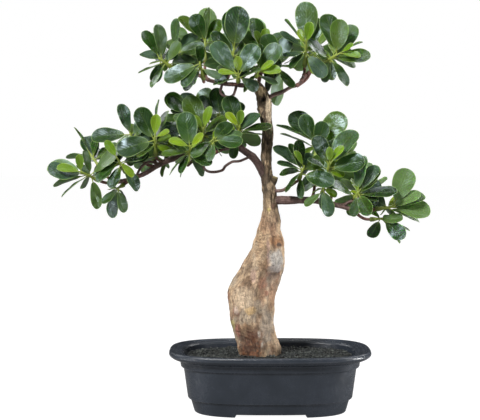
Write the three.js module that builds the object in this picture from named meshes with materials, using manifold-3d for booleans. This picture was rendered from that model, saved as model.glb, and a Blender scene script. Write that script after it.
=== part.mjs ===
// A ficus bonsai in an oval planter: a wooden trunk, moulded branches plugged into it, and leafy
// sprays plugged onto the branches' twigs. Millimetres, +Z up, front towards -Y, +X to the right.
import * as THREE from "three";
import Module from "manifold-3d";

const wasm = await Module();
wasm.setup();

// Clear gap between two pieces that touch on the real plant
const GAP = 0.3;

// Planter: half lengths along X; half depths along Y are these times the depth ratio
const POT_HEIGHT = 73;
const RIM_HALF_LENGTH = 121;
const POT_DEPTH_RATIO = 0.705;
const POT_ROUNDNESS = 3.0;
const RIM_DROP = 12;
const COLLAR_HALF_LENGTH = 108;
const WALL_HALF_LENGTH = 103.7;
const WALL_TOP = 54;
const SKIRT_HALF_LENGTH = 95.5;
const SKIRT_TOP = 16.5;
const BASE_HALF_LENGTH = 91;
const MOUTH_HALF_LENGTH = 103;
const POT_WALL = 3.4;
const POT_FLOOR = 6.5;
const POT_SIDES = 28;
const FOOT_HEIGHT = 3.5;
const NOTCH_HALF_LENGTH = 40;
const NOTCH_SLANT = 2.5;

// Planting medium
const SOIL_LEVEL = 63.5;
const SOIL_BUMP = 1.3;
const SOIL_DOME = 3;

// Trunk stations from the foot up: height, centre x, centre y, half width, half depth
const TRUNK_SINK = 16;
const TRUNK_FOOT = [SOIL_LEVEL, -12.5, 0, 25, 21];
const TRUNK_STATIONS = [
  [82, -16.2, 0, 24.6, 20.5],
  [106, -20.7, -1, 25.5, 21.5],
  [130, -21, -1, 27.6, 22.5],
  [142, -20.4, -1, 28.8, 22.5],
  [149, -18.3, -1, 28.5, 22],
  [155, -15.6, 0, 27.6, 21],
  [167, -9.9, 0, 26.1, 19.5],
  [179, -6.6, 0, 23.4, 18],
  [191, -3.3, 0, 19.5, 16],
  [203, -1.8, 0, 17.4, 14.5],
  [215, -1.8, 0, 13.8, 12.5],
  [227, 0, 0, 12, 11.5],
  [239, 0.3, 0, 9.6, 9.8],
  [251, 0, 0, 8.4, 9],
  [263, -1, 0, 8.6, 8.6],
  [277, -3.4, 0, 7.6, 8],
  [290, -4.2, 0, 6.6, 7.4],
  [311, -4.2, 0, 6.6, 7],
  [335, -2.6, 0, 7.2, 6.8],
  [347, -4.4, 0, 6.8, 6.6],
  [359, -6.3, 0, 8.4, 6.8],
  [370, -7.5, 0, 8.6, 6.8],
];
// The top bends to the left: centre x, centre z, radius
const TRUNK_BEND = [
  [-10.5, 379, 7.2],
  [-15.5, 386, 6.4],
  [-21, 391, 5.6],
];
const TRUNK_SIDES = 10;
const BARK_RELIEF = 0.05;
const KNOT = { at: [-8.4, -7.6, 371], radius: 2.6 };
const STUB = { base: [-1, -1, 258], top: [6.4, -2.5, 279], radius: 3.6 };

// Branches: the path's points in mm, the radius at its start and end, and loops of thinner wire
const BRANCH_SIDES = 6;
const LOOP_RADIUS = 1.7;
const TWIG_RADIUS = 1.9;
const TWIG_SIDES = 4;
const TWIG_STEPS = 2;
const BRANCHES = {
  branch_left: {
    path: [
      [-4, 0, 276], [-10, -1, 287], [-17, -3, 298], [-24, -5, 305], [-41, -6, 315],
      [-66, -2, 312], [-96, 0, 305], [-120, -4, 299], [-135, -8, 292], [-149, -8, 283],
      [-163, -8, 278], [-178, -7, 273],
    ],
    start: 5.6,
    end: 2.2,
    loops: [
      [
        [-24, -8, 303], [-36, -16, 298], [-45, -18, 297], [-53, -20, 292], [-57, -22, 287],
        [-66, -24, 285], [-74, -26, 286], [-79, -28, 291], [-80, -22, 300], [-84, -6, 307],
      ],
      [[-133, -8, 293], [-143, -14, 297], [-153, -14, 291], [-160, -8, 279]],
    ],
  },
  branch_right: {
    path: [
      [4, 0, 250.5], [24, -3, 251], [48, -6, 251], [63, -8, 249], [85, -9, 244],
      [101, -9, 239], [116, -9, 237],
    ],
    start: 5.4,
    end: 2,
    loops: [[[86, -9, 243], [95, -14, 250], [102, -16, 248], [108, -12, 239]]],
  },
  branch_right_thin: {
    path: [[4.5, -3, 262], [15, -8, 263], [23, -10, 268], [29, -10, 272]],
    start: 2.2,
    end: 1.9,
    loops: [],
  },
  branch_top_right: {
    path: [
      [-4, -1, 372], [5, -2, 377], [12, -4, 379], [18, -4, 382], [25, -5, 386],
      [32, -6, 388], [37, -7, 393], [40, -8, 400],
    ],
    start: 2.6,
    end: 2,
    loops: [],
  },
  branch_top_left: {
    path: [
      [-20.5, -1, 390], [-32, -3, 388], [-43, -5, 389], [-57, -4, 390], [-72, 0, 394],
      [-89, 3, 402], [-105, 2, 409],
    ],
    start: 3,
    end: 1.9,
    loops: [[[-57, -4, 390], [-59, -10, 379], [-52, -12, 374], [-44, -11, 376], [-40, -5, 388]]],
  },
  branch_top: {
    path: [[-15, 2, 386], [-13, 5, 395], [-11, 8, 403]],
    start: 2.4,
    end: 2.2,
    loops: [],
  },
};

// Moulded sprays
const SLEEVE_RADIUS = 3.1;
const SLEEVE_LENGTH = 11;
const STEM_RADIUS = 1.7;
const STEM_TIP_RADIUS = 1.2;
const STEM_SIDES = 4;
const LEAF_SPACING = 2.1;
const BUD_RADIUS = 1.2;
const BUD_LENGTH = 4;

// A leaf: width for each mm of length, and half widths along it as shares of the widest
const LEAF_SLIMNESS = 0.6;
const LEAF_THICKNESS = 0.8;
const PETIOLE_THICKNESS = 1.1;
const LEAF_OUTLINE = [[0, 0.045], [0.2, 0.06], [0.48, 0.82], [0.77, 0.98], [1, 0.34]];
const BLADE_FROM = 1;
const YOUNG_SCALE = 0.8;

// How far a leaf is bent to clear what it would cross
const TRIES = 32;
const TILT_STEP = 5;
const GOLDEN_ANGLE = 137.508;

// Which way a spray's leaves turn their faces: towards the front, or away at the back
const FACING_FRONT = [0, -0.8, 0.6];
const FACING_BACK = [0, 0.72, 0.69];

// Sprays: the branch and how far along it the twig leaves, the tip, the stem from its foot to the
// tip, and the leaves. A leaf is its clock angle in the front view (0 right, 90 up), its lean
// towards the front, its length and how far it is turned edge on. 'more' adds leaves behind by a
// rule, and 'young' lists the bright leaves at the tip.
const SPRAYS = {
  far_left_low: {
    branch: "branch_left", along: 0.97, tip: [-222, -20, 284], stem: [-18, -18, 10], more: 0,
    leaves: [
      [160, 8, 46, 0], [176, 22, 46, 0], [196, -5, 42, 65], [213, 10, 40, 45],
      [34, 20, 50, 15], [106, -10, 32, 50], [284, 5, 38, 30],
    ],
    young: [[162, 35, 38], [95, 20, 28]],
  },
  far_left_back: {
    branch: "branch_left", along: 0.86, tip: [-217, 16, 306], stem: [-16, 8, 22], more: 1,
    leaves: [[119, -5, 40, 68], [176, -10, 32, 70], [84, -5, 32, 60], [30, -10, 34, 10]],
  },
  left_outer: {
    branch: "branch_left", along: 0.8, tip: [-179, -35, 300], stem: [-8, -17, 16], more: 1,
    leaves: [[156, 5, 46, 0], [205, 15, 36, 20], [20, 10, 34, 10], [250, 20, 32, 20]],
    young: [[112, 10, 30], [72, 15, 30]],
  },
  left_under: {
    branch: "branch_left", along: 0.9, tip: [-182, -20, 265], stem: [-8, -9, -5], more: 0,
    leaves: [[286, 10, 30, 35], [256, 5, 38, 20], [222, 25, 30, 30]],
  },
  left_high: {
    branch: "branch_left", along: 0.72, tip: [-166, -18, 331], stem: [-8, -6, 24], more: 1,
    leaves: [[180, 8, 46, 10], [112, 0, 40, 30], [225, 20, 34, 20], [60, 0, 36, 10]],
  },
  left_middle: {
    branch: "branch_left", along: 0.66, tip: [-136, -32, 324], stem: [0, -18, 20], more: 1,
    leaves: [[194, 15, 46, 0], [116, 10, 44, 0], [72, -15, 42, 60], [215, 30, 34, 50]],
    young: [[84, 20, 34], [20, 25, 26]],
  },
  left_inner_back: {
    branch: "branch_left", along: 0.6, tip: [-123, 20, 310], stem: [2, 11, 10], more: 1,
    leaves: [[92, -10, 44, 40], [181, 10, 38, 45], [253, 5, 28, 50], [30, -20, 36, 10]],
  },
  middle_front: {
    branch: "branch_left", along: 0.5, tip: [-94, -42, 313], stem: [4, -20, 18], more: 1,
    leaves: [[97, 0, 44, 0], [190, 20, 34, 35], [246, 15, 28, 35], [330, 25, 32, 20]],
    young: [[160, 25, 34], [45, 20, 28]],
  },
  middle_high: {
    branch: "branch_left", along: 0.43, tip: [-79, -24, 334], stem: [2, -17, 20], more: 1,
    leaves: [[112, 5, 46, 0], [150, 0, 40, 20], [40, -15, 36, 20]],
    young: [[74, 10, 34], [120, 30, 26]],
  },
  middle_back: {
    branch: "branch_left", along: 0.53, tip: [-94, 26, 355], stem: [-2, 6, 28], more: 1,
    leaves: [[142, 5, 40, 0], [62, 5, 40, 10], [100, -15, 38, 10], [185, -10, 38, 20]],
  },
  middle_low: {
    branch: "branch_left", along: 0.4, tip: [-66, -40, 326], stem: [6, -14, 18], more: 0,
    leaves: [[214, 15, 34, 15], [352, 20, 36, 0], [262, 30, 28, 20], [24, -5, 36, 10]],
  },
  inner_front: {
    branch: "branch_left", along: 0.28, tip: [-37, -24, 336], stem: [6, -17, 17], more: 1,
    leaves: [[106, 0, 42, 0], [9, 5, 40, 35], [351, 20, 30, 50], [46, -10, 36, 20]],
    young: [[132, 25, 30], [85, 30, 28]],
  },
  inner_back: {
    branch: "branch_left", along: 0.33, tip: [-60, 18, 352], stem: [-2, 10, 26], more: 2,
    leaves: [[99, 5, 36, 10], [146, 5, 38, 10], [40, -10, 36, 0]],
  },
  left_rear: {
    branch: "branch_left", along: 0.63, tip: [-150, 52, 312], stem: [-10, 20, 14], more: 4,
    leaves: [], back: true,
  },
  middle_rear: {
    branch: "branch_left", along: 0.37, tip: [-74, 60, 340], stem: [-4, 20, 20], more: 4,
    leaves: [], back: true,
  },
  crown_far_left: {
    branch: "branch_top_left", along: 0.95, tip: [-132, -12, 420], stem: [-16, -10, 12], more: 1,
    leaves: [
      [121, 5, 38, 35], [94, 0, 42, 55], [104, -20, 38, 0], [207, 15, 34, 45], [238, 10, 34, 30],
      [60, 5, 30, 20],
    ],
  },
  crown_left_back: {
    branch: "branch_top_left", along: 0.9, tip: [-114, 18, 433], stem: [-6, 8, 24], more: 1,
    leaves: [[90, 5, 38, 45], [142, -10, 38, 55], [10, 20, 36, 0], [55, -10, 36, 10]],
  },
  crown_left: {
    branch: "branch_top_left", along: 0.72, tip: [-83, -32, 414], stem: [-4, -14, 20], more: 0,
    leaves: [
      [204, 5, 46, 0], [226, 25, 34, 10], [238, 0, 34, 20], [330, 20, 28, 20], [95, 10, 28, 50],
    ],
  },
  crown_left_high: {
    branch: "branch_top_left", along: 0.68, tip: [-78, 12, 444], stem: [0, 6, 28], more: 1,
    leaves: [[142, 5, 42, 20], [120, 10, 36, 0], [85, 0, 44, 60], [70, 5, 36, 20], [20, 5, 34, 20]],
  },
  crown_middle: {
    branch: "branch_top_left", along: 0.45, tip: [-43, -12, 431], stem: [4, -6, 26], more: 1,
    leaves: [
      [98, 0, 46, 10], [60, 0, 42, 50], [135, 15, 36, 10], [165, 0, 34, 20], [30, 15, 34, 20],
    ],
  },
  crown_middle_front: {
    branch: "branch_top_left", along: 0.36, tip: [-38, -37, 399], stem: [0, -16, 8], more: 0,
    leaves: [[130, 5, 48, 0], [60, 5, 42, 0], [200, 20, 32, 40], [15, 15, 30, 30]],
    young: [[170, 20, 32], [92, 35, 28]],
  },
  crown_inner_front: {
    branch: "branch_top", along: 0.5, tip: [-15, -30, 402], stem: [2, -18, 4], more: 0,
    leaves: [[102, 10, 34, 45], [70, 5, 42, 10], [140, 20, 32, 20], [330, 20, 28, 30]],
    young: [[5, 20, 34], [48, 30, 28]],
  },
  crown_centre: {
    branch: "branch_top", along: 1, tip: [-10, 0, 430], stem: [1, -14, 22], more: 1,
    leaves: [[94, 5, 44, 30], [130, -5, 38, 10], [50, -10, 38, 20], [165, 10, 34, 20]],
    young: [[76, 15, 30], [110, 25, 28]],
  },
  crown_right: {
    branch: "branch_top", along: 0.9, tip: [13, -6, 413], stem: [18, -6, 8], more: 1,
    leaves: [[116, 5, 40, 0], [76, 10, 36, 10], [298, 5, 34, 30], [150, 20, 30, 20], [40, 0, 34, 30]],
  },
  crown_right_high: {
    branch: "branch_top_right", along: 1, tip: [42, -20, 434], stem: [1, -18, 24], more: 1,
    leaves: [
      [94, 5, 54, 0], [152, 0, 36, 20], [228, 15, 30, 40], [196, 25, 30, 20], [74, -15, 46, 10],
    ],
    young: [[60, 15, 34], [118, 30, 28]],
  },
  crown_far_right: {
    branch: "branch_top_right", along: 0.86, tip: [80, -16, 424], stem: [20, -18, 10], more: 1,
    leaves: [
      [102, 0, 50, 20], [82, 10, 44, 20], [57, 0, 44, 0], [40, -10, 40, 55], [1, 10, 46, 10],
      [308, 10, 38, 25], [142, 15, 36, 20],
    ],
    young: [[355, 30, 32], [30, 30, 26]],
  },
  crown_left_rear: {
    branch: "branch_top_left", along: 0.8, tip: [-98, 48, 434], stem: [-4, 20, 20], more: 4,
    leaves: [], back: true,
  },
  crown_rear: {
    branch: "branch_top", along: 0.8, tip: [-28, 48, 436], stem: [-6, 20, 20], more: 4,
    leaves: [], back: true,
  },
  crown_right_rear: {
    branch: "branch_top_right", along: 0.7, tip: [58, 36, 438], stem: [6, 18, 24], more: 4,
    leaves: [], back: true,
  },
  right_inner: {
    branch: "branch_right_thin", along: 1, tip: [39, -20, 289], stem: [5, -10, 13], more: 0,
    leaves: [
      [162, 10, 32, 30], [110, -5, 36, 45], [101, 15, 40, 30], [356, 15, 42, 0], [270, 10, 28, 50],
    ],
    young: [[130, 25, 30], [60, 25, 26]],
  },
  right_high: {
    branch: "branch_right", along: 0.3, tip: [56, 4, 322], stem: [2, 2, 26], more: 1,
    leaves: [
      [121, 15, 38, 0], [124, -18, 52, 0], [48, 0, 50, 0], [155, 0, 46, 55], [85, 10, 36, 20],
    ],
  },
  right_middle: {
    branch: "branch_right", along: 0.42, tip: [69, -25, 294], stem: [3, -18, 18], more: 1,
    leaves: [[100, 15, 38, 30], [58, -5, 54, 15], [10, 5, 44, 0], [150, 20, 28, 20]],
    young: [[55, 20, 32], [92, 35, 26]],
  },
  right_outer: {
    branch: "branch_right", along: 0.62, tip: [104, -22, 261], stem: [4, -13, 8], more: 1,
    leaves: [[87, 5, 44, 45], [55, 0, 40, 25], [4, 10, 48, 30], [356, 30, 28, 40], [150, 15, 34, 10]],
  },
  right_low: {
    branch: "branch_right", along: 0.46, tip: [62, -22, 267], stem: [0, -10, 8], more: 0,
    leaves: [[286, 10, 34, 0], [5, 15, 42, 0], [60, 20, 28, 20], [215, 20, 28, 30], [120, 25, 26, 20]],
  },
  right_end: {
    branch: "branch_right", along: 1, tip: [148, -14, 244], stem: [22, -10, 4], more: 1,
    leaves: [
      [78, 5, 48, 0], [34, 15, 38, 20], [355, 8, 48, 0], [20, -10, 46, 20], [340, -8, 44, 40],
    ],
  },
  right_end_low: {
    branch: "branch_right", along: 0.78, tip: [136, -4, 229], stem: [17, 2, 1], more: 0,
    leaves: [[312, 10, 36, 50], [338, 0, 38, 40], [24, 20, 30, 30]],
  },
  right_rear: {
    branch: "branch_right", along: 0.52, tip: [82, 46, 300], stem: [6, 20, 20], more: 4,
    leaves: [], back: true,
  },
  right_end_rear: {
    branch: "branch_right", along: 0.8, tip: [118, 34, 262], stem: [10, 18, 8], more: 4,
    leaves: [], back: true,
  },
};

const WOOD = new THREE.MeshStandardMaterial({ color: 0xa98d6c, roughness: 0.85, metalness: 0 });
const POT = new THREE.MeshStandardMaterial({ color: 0x3a3d44, roughness: 0.45, metalness: 0 });
const SOIL = new THREE.MeshStandardMaterial({ color: 0x2b2f2c, roughness: 0.95, metalness: 0 });
const BRANCH = new THREE.MeshStandardMaterial({ color: 0x50403d, roughness: 0.7, metalness: 0 });
const LEAF = new THREE.MeshStandardMaterial({ color: 0x33562f, roughness: 0.4, metalness: 0 });
const YOUNG = new THREE.MeshStandardMaterial({ color: 0x86ac2c, roughness: 0.4, metalness: 0 });

const radians = (degrees) => (degrees * Math.PI) / 180;
const vec = (xyz) => new THREE.Vector3(...xyz);
const lerp = (from, to, share) => from + (to - from) * share;

// A seeded draw from 0 to 1
function draw(seed) {
  const value = Math.sin(seed * 12.9898 + 4.1) * 43758.5453;
  return value - Math.floor(value);
}

// A closed solid from corner points and triangles, with its faces turned outwards
function solidOf(points, triangles) {
  let volume = 0;
  for (const [a, b, c] of triangles) {
    volume += points[a].dot(points[b].clone().cross(points[c]));
  }
  const outward = volume < 0 ? triangles.map(([a, b, c]) => [a, c, b]) : triangles;
  const mesh = new wasm.Mesh({
    numProp: 3,
    vertProperties: new Float32Array(points.flatMap((point) => point.toArray())),
    triVerts: new Uint32Array(outward.flat()),
  });
  return new wasm.Manifold(mesh);
}

// A solid skinned over rings of as many points each, closed by a flat fan at both ends
function loft(rings) {
  const sides = rings[0].length;
  const triangles = [];
  for (let ring = 0; ring + 1 < rings.length; ring++) {
    for (let side = 0; side < sides; side++) {
      const here = ring * sides + side;
      const next = ring * sides + ((side + 1) % sides);
      triangles.push([here, next, next + sides], [here, next + sides, here + sides]);
    }
  }
  const last = (rings.length - 1) * sides;
  for (let side = 1; side + 1 < sides; side++) {
    triangles.push([0, side + 1, side], [last, last + side, last + side + 1]);
  }
  return solidOf(rings.flat(), triangles);
}

// A round bar along a curve, with its radius given along it and its ends cut square
function bar(curve, radiusAt, steps, sides) {
  const rings = [];
  let across = null;
  for (let step = 0; step <= steps; step++) {
    const share = step / steps;
    const centre = curve.getPoint(share);
    const along = curve.getTangent(share);
    across = across ?? new THREE.Vector3(0.31, 0.87, 0.39);
    across = across.clone().addScaledVector(along, -across.dot(along)).normalize();
    const other = along.clone().cross(across);
    rings.push(circle(centre, across, other, radiusAt(share), sides));
  }
  return loft(rings);
}

// The points of a circle about a centre, in the plane of two directions
function circle(centre, across, other, radius, sides) {
  return Array.from({ length: sides }, (_, side) => {
    const angle = (2 * Math.PI * side) / sides;
    return centre
      .clone()
      .addScaledVector(across, radius * Math.cos(angle))
      .addScaledVector(other, radius * Math.sin(angle));
  });
}

// The largest of a solid's pieces, without the specks that a join can leave
function wholePiece(solid) {
  return solid.decompose().reduce((best, piece) => (piece.volume() > best.volume() ? piece : best));
}

// A smooth path through points
const pathThrough = (points) =>
  new THREE.CatmullRomCurve3(points.map(vec), false, "catmullrom", 0.5);

// The planter's outline at one height: a rounded oblong
function oblong(halfLength, height, sides = POT_SIDES) {
  return Array.from({ length: sides }, (_, side) => {
    const angle = (2 * Math.PI * (side + 0.5)) / sides;
    const power = 2 / POT_ROUNDNESS;
    const x = Math.sign(Math.cos(angle)) * Math.abs(Math.cos(angle)) ** power;
    const y = Math.sign(Math.sin(angle)) * Math.abs(Math.sin(angle)) ** power;
    return new THREE.Vector3(halfLength * x, halfLength * POT_DEPTH_RATIO * y, height);
  });
}

// The planter: flared rim, collar, stepped wall, skirt and two feet
function pot() {
  const rimBottom = POT_HEIGHT - RIM_DROP;
  const profile = [
    [BASE_HALF_LENGTH, 0],
    [SKIRT_HALF_LENGTH, SKIRT_TOP - 1],
    [WALL_HALF_LENGTH - 5, SKIRT_TOP],
    [WALL_HALF_LENGTH, WALL_TOP - 1],
    [COLLAR_HALF_LENGTH - 1, WALL_TOP],
    [COLLAR_HALF_LENGTH, rimBottom],
    [RIM_HALF_LENGTH - 1.5, rimBottom],
    [RIM_HALF_LENGTH, POT_HEIGHT - 2],
    [RIM_HALF_LENGTH - 2, POT_HEIGHT],
    [MOUTH_HALF_LENGTH + 2, POT_HEIGHT - 1],
    [MOUTH_HALF_LENGTH, POT_HEIGHT - 4],
    [WALL_HALF_LENGTH - POT_WALL, WALL_TOP],
    [SKIRT_HALF_LENGTH - POT_WALL, SKIRT_TOP],
    [BASE_HALF_LENGTH - POT_WALL, POT_FLOOR],
  ];
  const body = loft(profile.map(([halfLength, height]) => oblong(halfLength, height)));
  const reach = RIM_HALF_LENGTH;
  const notch = [-reach, reach].map((y) =>
    [
      [-NOTCH_HALF_LENGTH - NOTCH_SLANT, -1],
      [NOTCH_HALF_LENGTH + NOTCH_SLANT, -1],
      [NOTCH_HALF_LENGTH, FOOT_HEIGHT],
      [-NOTCH_HALF_LENGTH, FOOT_HEIGHT],
    ].map(([x, z]) => new THREE.Vector3(x, y, z)),
  );
  return body.subtract(loft(notch));
}

// The top of the planting medium: domed towards the trunk, with low bumps
function soilHeight(x, y) {
  const bumps = Math.sin(x * 0.21 + 1.1) * Math.cos(y * 0.26) + 0.6 * Math.sin(x * 0.47 - y * 0.39);
  const share = Math.hypot(x + 12, y * 1.3) / MOUTH_HALF_LENGTH;
  return SOIL_LEVEL + SOIL_DOME * Math.max(0, 1 - share * 1.4) + SOIL_BUMP * 0.6 * bumps;
}

// The planting medium, with the plain hole that the trunk stands in
function soil() {
  const inset = GAP / POT_DEPTH_RATIO + 0.1;
  const walls = [
    [BASE_HALF_LENGTH - POT_WALL, POT_FLOOR + GAP],
    [SKIRT_HALF_LENGTH - POT_WALL, SKIRT_TOP],
    [WALL_HALF_LENGTH - POT_WALL, WALL_TOP],
    [WALL_HALF_LENGTH - POT_WALL + 1, SOIL_LEVEL - 4],
  ].map(([halfLength, height]) => oblong(halfLength - inset, height));
  const top = [0.99, 0.78, 0.5, 0.2].map((share) =>
    oblong((WALL_HALF_LENGTH - POT_WALL) * share, SOIL_LEVEL).map(
      (point) => new THREE.Vector3(point.x, point.y, soilHeight(point.x, point.y)),
    ),
  );
  const [, x, y, halfWidth, halfDepth] = TRUNK_FOOT;
  const floor = SOIL_LEVEL - TRUNK_SINK - GAP;
  const hole = [floor, SOIL_LEVEL + 20].map((height) =>
    trunkRing(vec([x, y, height]), [halfWidth + GAP * 1.6, halfDepth + GAP * 1.6], 0),
  );
  return loft([...walls, ...top]).subtract(loft(hole));
}

// A ring round the trunk: a flattened circle with the bark's long ridges
function trunkRing(centre, [halfWidth, halfDepth], relief, tilt = 0) {
  return Array.from({ length: TRUNK_SIDES }, (_, side) => {
    const angle = (2 * Math.PI * side) / TRUNK_SIDES;
    const ridge = 1 + relief * Math.sin(5 * angle + centre.z * 0.035);
    const x = halfWidth * Math.cos(angle) * ridge;
    const y = halfDepth * Math.sin(angle) * ridge;
    return new THREE.Vector3(
      centre.x + x * Math.cos(tilt),
      centre.y + y,
      centre.z + x * Math.sin(tilt),
    );
  });
}

// The trunk: foot, bulge, waist, bent top, knot hole and the cut stub on its right
function trunk() {
  const [level, footX, footY, footWidth, footDepth] = TRUNK_FOOT;
  const foot = [level - TRUNK_SINK, level + SOIL_DOME + SOIL_BUMP].map((height) =>
    trunkRing(vec([footX, footY, height]), [footWidth, footDepth], 0),
  );
  const column = TRUNK_STATIONS.map(([z, x, y, halfWidth, halfDepth]) =>
    trunkRing(vec([x, y, z]), [halfWidth, halfDepth], BARK_RELIEF),
  );
  const bend = TRUNK_BEND.map(([x, z, radius], step) =>
    trunkRing(vec([x, 0, z]), [radius, radius], 0, radians(22 + 16 * step)),
  );
  const stubAxis = new THREE.LineCurve3(vec(STUB.base), vec(STUB.top));
  const stub = bar(stubAxis, () => STUB.radius, 1, 8);
  const knot = new THREE.LineCurve3(vec(KNOT.at), vec(KNOT.at).add(vec([0, 4, 0])));
  const dent = bar(knot, (share) => KNOT.radius * (1 - 0.5 * share), 1, 8);
  return loft([...foot, ...column, ...bend]).add(stub).subtract(dent);
}

// A branch with its loops and a twig to every spray that it carries. 'extra' widens it, for the
// sockets in the trunk.
function branch(name, extra = 0) {
  const { path, start, end, loops } = BRANCHES[name];
  const curve = pathThrough(path);
  const steps = Math.ceil((path.length - 1) * 1.1);
  let solid = bar(curve, (share) => lerp(start, end, share) + extra, steps, BRANCH_SIDES);
  if (extra > 0) return solid.add(socketEnd(curve, start + extra, extra));
  for (const loop of loops) {
    const wire = bar(pathThrough(loop), () => LOOP_RADIUS, loop.length + 1, TWIG_SIDES);
    solid = solid.add(wire);
  }
  for (const spray of Object.values(SPRAYS)) {
    if (spray.branch === name) solid = solid.add(twig(curve, spray, lerp(start, end, spray.along)));
  }
  return solid;
}

// The bottom of a branch's socket, a little below the branch's end
function socketEnd(curve, radius, depth) {
  const end = curve.getPoint(0);
  const below = end.clone().addScaledVector(curve.getTangent(0), -depth);
  return bar(new THREE.LineCurve3(below, end), () => radius, 1, BRANCH_SIDES);
}

// The twig that leaves a branch and ends square in front of a spray's sleeve
function twig(curve, spray, branchRadius) {
  const from = curve.getPoint(Math.min(spray.along, 0.995));
  const leaving = curve.getTangent(Math.min(spray.along, 0.995));
  const arriving = vec(spray.stem).normalize();
  const foot = vec(spray.tip).sub(vec(spray.stem));
  const reach = from.distanceTo(foot) * 0.45;
  const route = new THREE.CubicBezierCurve3(
    from,
    from.clone().addScaledVector(leaving, reach * 0.6),
    foot.clone().addScaledVector(arriving, -reach),
    foot,
  );
  const thick = Math.min(TWIG_RADIUS * 1.1, branchRadius);
  return bar(route, (share) => lerp(thick, TWIG_RADIUS * 0.9, share), TWIG_STEPS, TWIG_SIDES);
}

// A spray's sleeve and stem: one moulded bar from the twig's end to the tip
function stemSolid(spray) {
  const tip = vec(spray.tip);
  const stem = vec(spray.stem);
  const along = stem.clone().normalize();
  const foot = tip.clone().sub(stem).addScaledVector(along, GAP);
  const across = new THREE.Vector3(0.31, 0.87, 0.39).cross(along).normalize();
  const other = along.clone().cross(across);
  const length = foot.distanceTo(tip);
  const sleeve = Math.min(SLEEVE_LENGTH, length * 0.5);
  const profile = [
    [0, SLEEVE_RADIUS],
    [sleeve, STEM_RADIUS],
    [length, STEM_TIP_RADIUS],
  ];
  return loft(
    profile.map(([at, radius]) =>
      circle(foot.clone().addScaledVector(along, at), across, other, radius, STEM_SIDES),
    ),
  );
}

// The bud that holds the young leaves, just past a spray's tip
function budSolid(spray) {
  const along = vec(spray.stem).normalize();
  const foot = vec(spray.tip).addScaledVector(along, GAP);
  const top = foot.clone().addScaledVector(along, BUD_LENGTH);
  const taper = (share) => BUD_RADIUS * (1 - 0.4 * share);
  return bar(new THREE.LineCurve3(foot, top), taper, 1, STEM_SIDES);
}

// The directions of a leaf along its length and out of its face
function leafDirections(facing, clock, lean, turn) {
  const angle = radians(clock);
  const tilt = radians(lean);
  const along = new THREE.Vector3(
    Math.cos(angle) * Math.cos(tilt),
    -Math.sin(tilt),
    Math.sin(angle) * Math.cos(tilt),
  );
  const face = facing.clone().addScaledVector(along, -facing.dot(along)).normalize();
  face.applyAxisAngle(along, radians(turn) * (along.x > 0 ? -1 : 1));
  return { along, face };
}

// The same directions bent by one step of a widening spiral
function bentDirections({ along, face }, step) {
  const tilt = Math.tan(radians(TILT_STEP * Math.sqrt(step)));
  const turn = radians(GOLDEN_ANGLE * step);
  const side = along.clone().cross(face);
  const bent = along
    .clone()
    .addScaledVector(side, tilt * Math.cos(turn))
    .addScaledVector(face, tilt * Math.sin(turn))
    .normalize();
  return { along: bent, face: face.clone().addScaledVector(bent, -face.dot(bent)).normalize() };
}

// A leaf blade: rings of four points along an arched midrib. 'margin' thickens it on all sides.
function leafSolid(base, { along, face }, length, bow, margin = 0, from = 0) {
  const side = along.clone().cross(face);
  const halfWidth = (length * LEAF_SLIMNESS) / 2;
  const rings = LEAF_OUTLINE.slice(from).map(([share, width]) => {
    const centre = base
      .clone()
      .addScaledVector(along, length * share)
      .addScaledVector(face, bow * length * share * share);
    const normal = face.clone().addScaledVector(along, -2 * bow * share).normalize();
    const thickness = share > 0.3 ? LEAF_THICKNESS : PETIOLE_THICKNESS;
    const half = halfWidth * width + margin;
    const thick = thickness / 2 + margin;
    return [[-1, 1], [1, 1], [1, -1], [-1, -1]].map(([across, up]) =>
      centre.clone().addScaledVector(side, across * half).addScaledVector(normal, up * thick),
    );
  });
  return loft(rings);
}

// All the leaves of a spray or of its young tip: where each starts, its directions and size
function leafPlans(spray, young, seed) {
  const facing = vec(spray.back ? FACING_BACK : FACING_FRONT);
  const along = vec(spray.stem).normalize();
  const tip = vec(spray.tip);
  const rows = young ? spray.young : [...spray.leaves, ...moreRows(spray, seed)];
  return rows.map(([clock, lean, length, turn = 0], index) => {
    const start = young ? GAP + BUD_LENGTH * 0.6 : -2 - LEAF_SPACING * index;
    const chance = draw(seed * 31 + index * 7 + (young ? 400 : 0));
    return {
      base: tip.clone().addScaledVector(along, start),
      directions: leafDirections(facing, clock, lean, turn + 16 * (chance - 0.5)),
      length: length * (young ? YOUNG_SCALE : 1),
      bow: 0.24 * draw(seed * 17 + index * 5 + 3) - 0.16,
    };
  });
}

// The leaves that a rule adds behind: turned on by the golden angle and leaning back
function moreRows(spray, seed) {
  const first = 360 * draw(seed * 3.7);
  return Array.from({ length: spray.more }, (_, index) => {
    const clock = first + GOLDEN_ANGLE * index;
    const lean = -28 - 30 * draw(seed * 5 + index);
    return [clock, spray.back ? lean + 8 : lean, 36 + 8 * draw(seed * 11 + index)];
  });
}

// Whether two boxes come near each other
function boxesMeet(a, b) {
  return [0, 1, 2].every((axis) => a.min[axis] < b.max[axis] && b.min[axis] < a.max[axis]);
}

// Every solid placed so far, with its box, the node that it belongs to and, for a leaf, its blade
const placed = [];
function place(node, solid, blade = null) {
  placed.push({ node, solid, blade, box: solid.boundingBox() });
}

// Whether a leaf is clear of every other node, and its blade of its own node too
function isClear(whole, blade, node) {
  const box = whole.boundingBox();
  return placed.every((other) => {
    if (!boxesMeet(box, other.box)) return true;
    if (other.node !== node) return whole.intersect(other.solid).isEmpty();
    return blade.intersect(other.blade ?? other.solid).isEmpty();
  });
}

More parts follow.
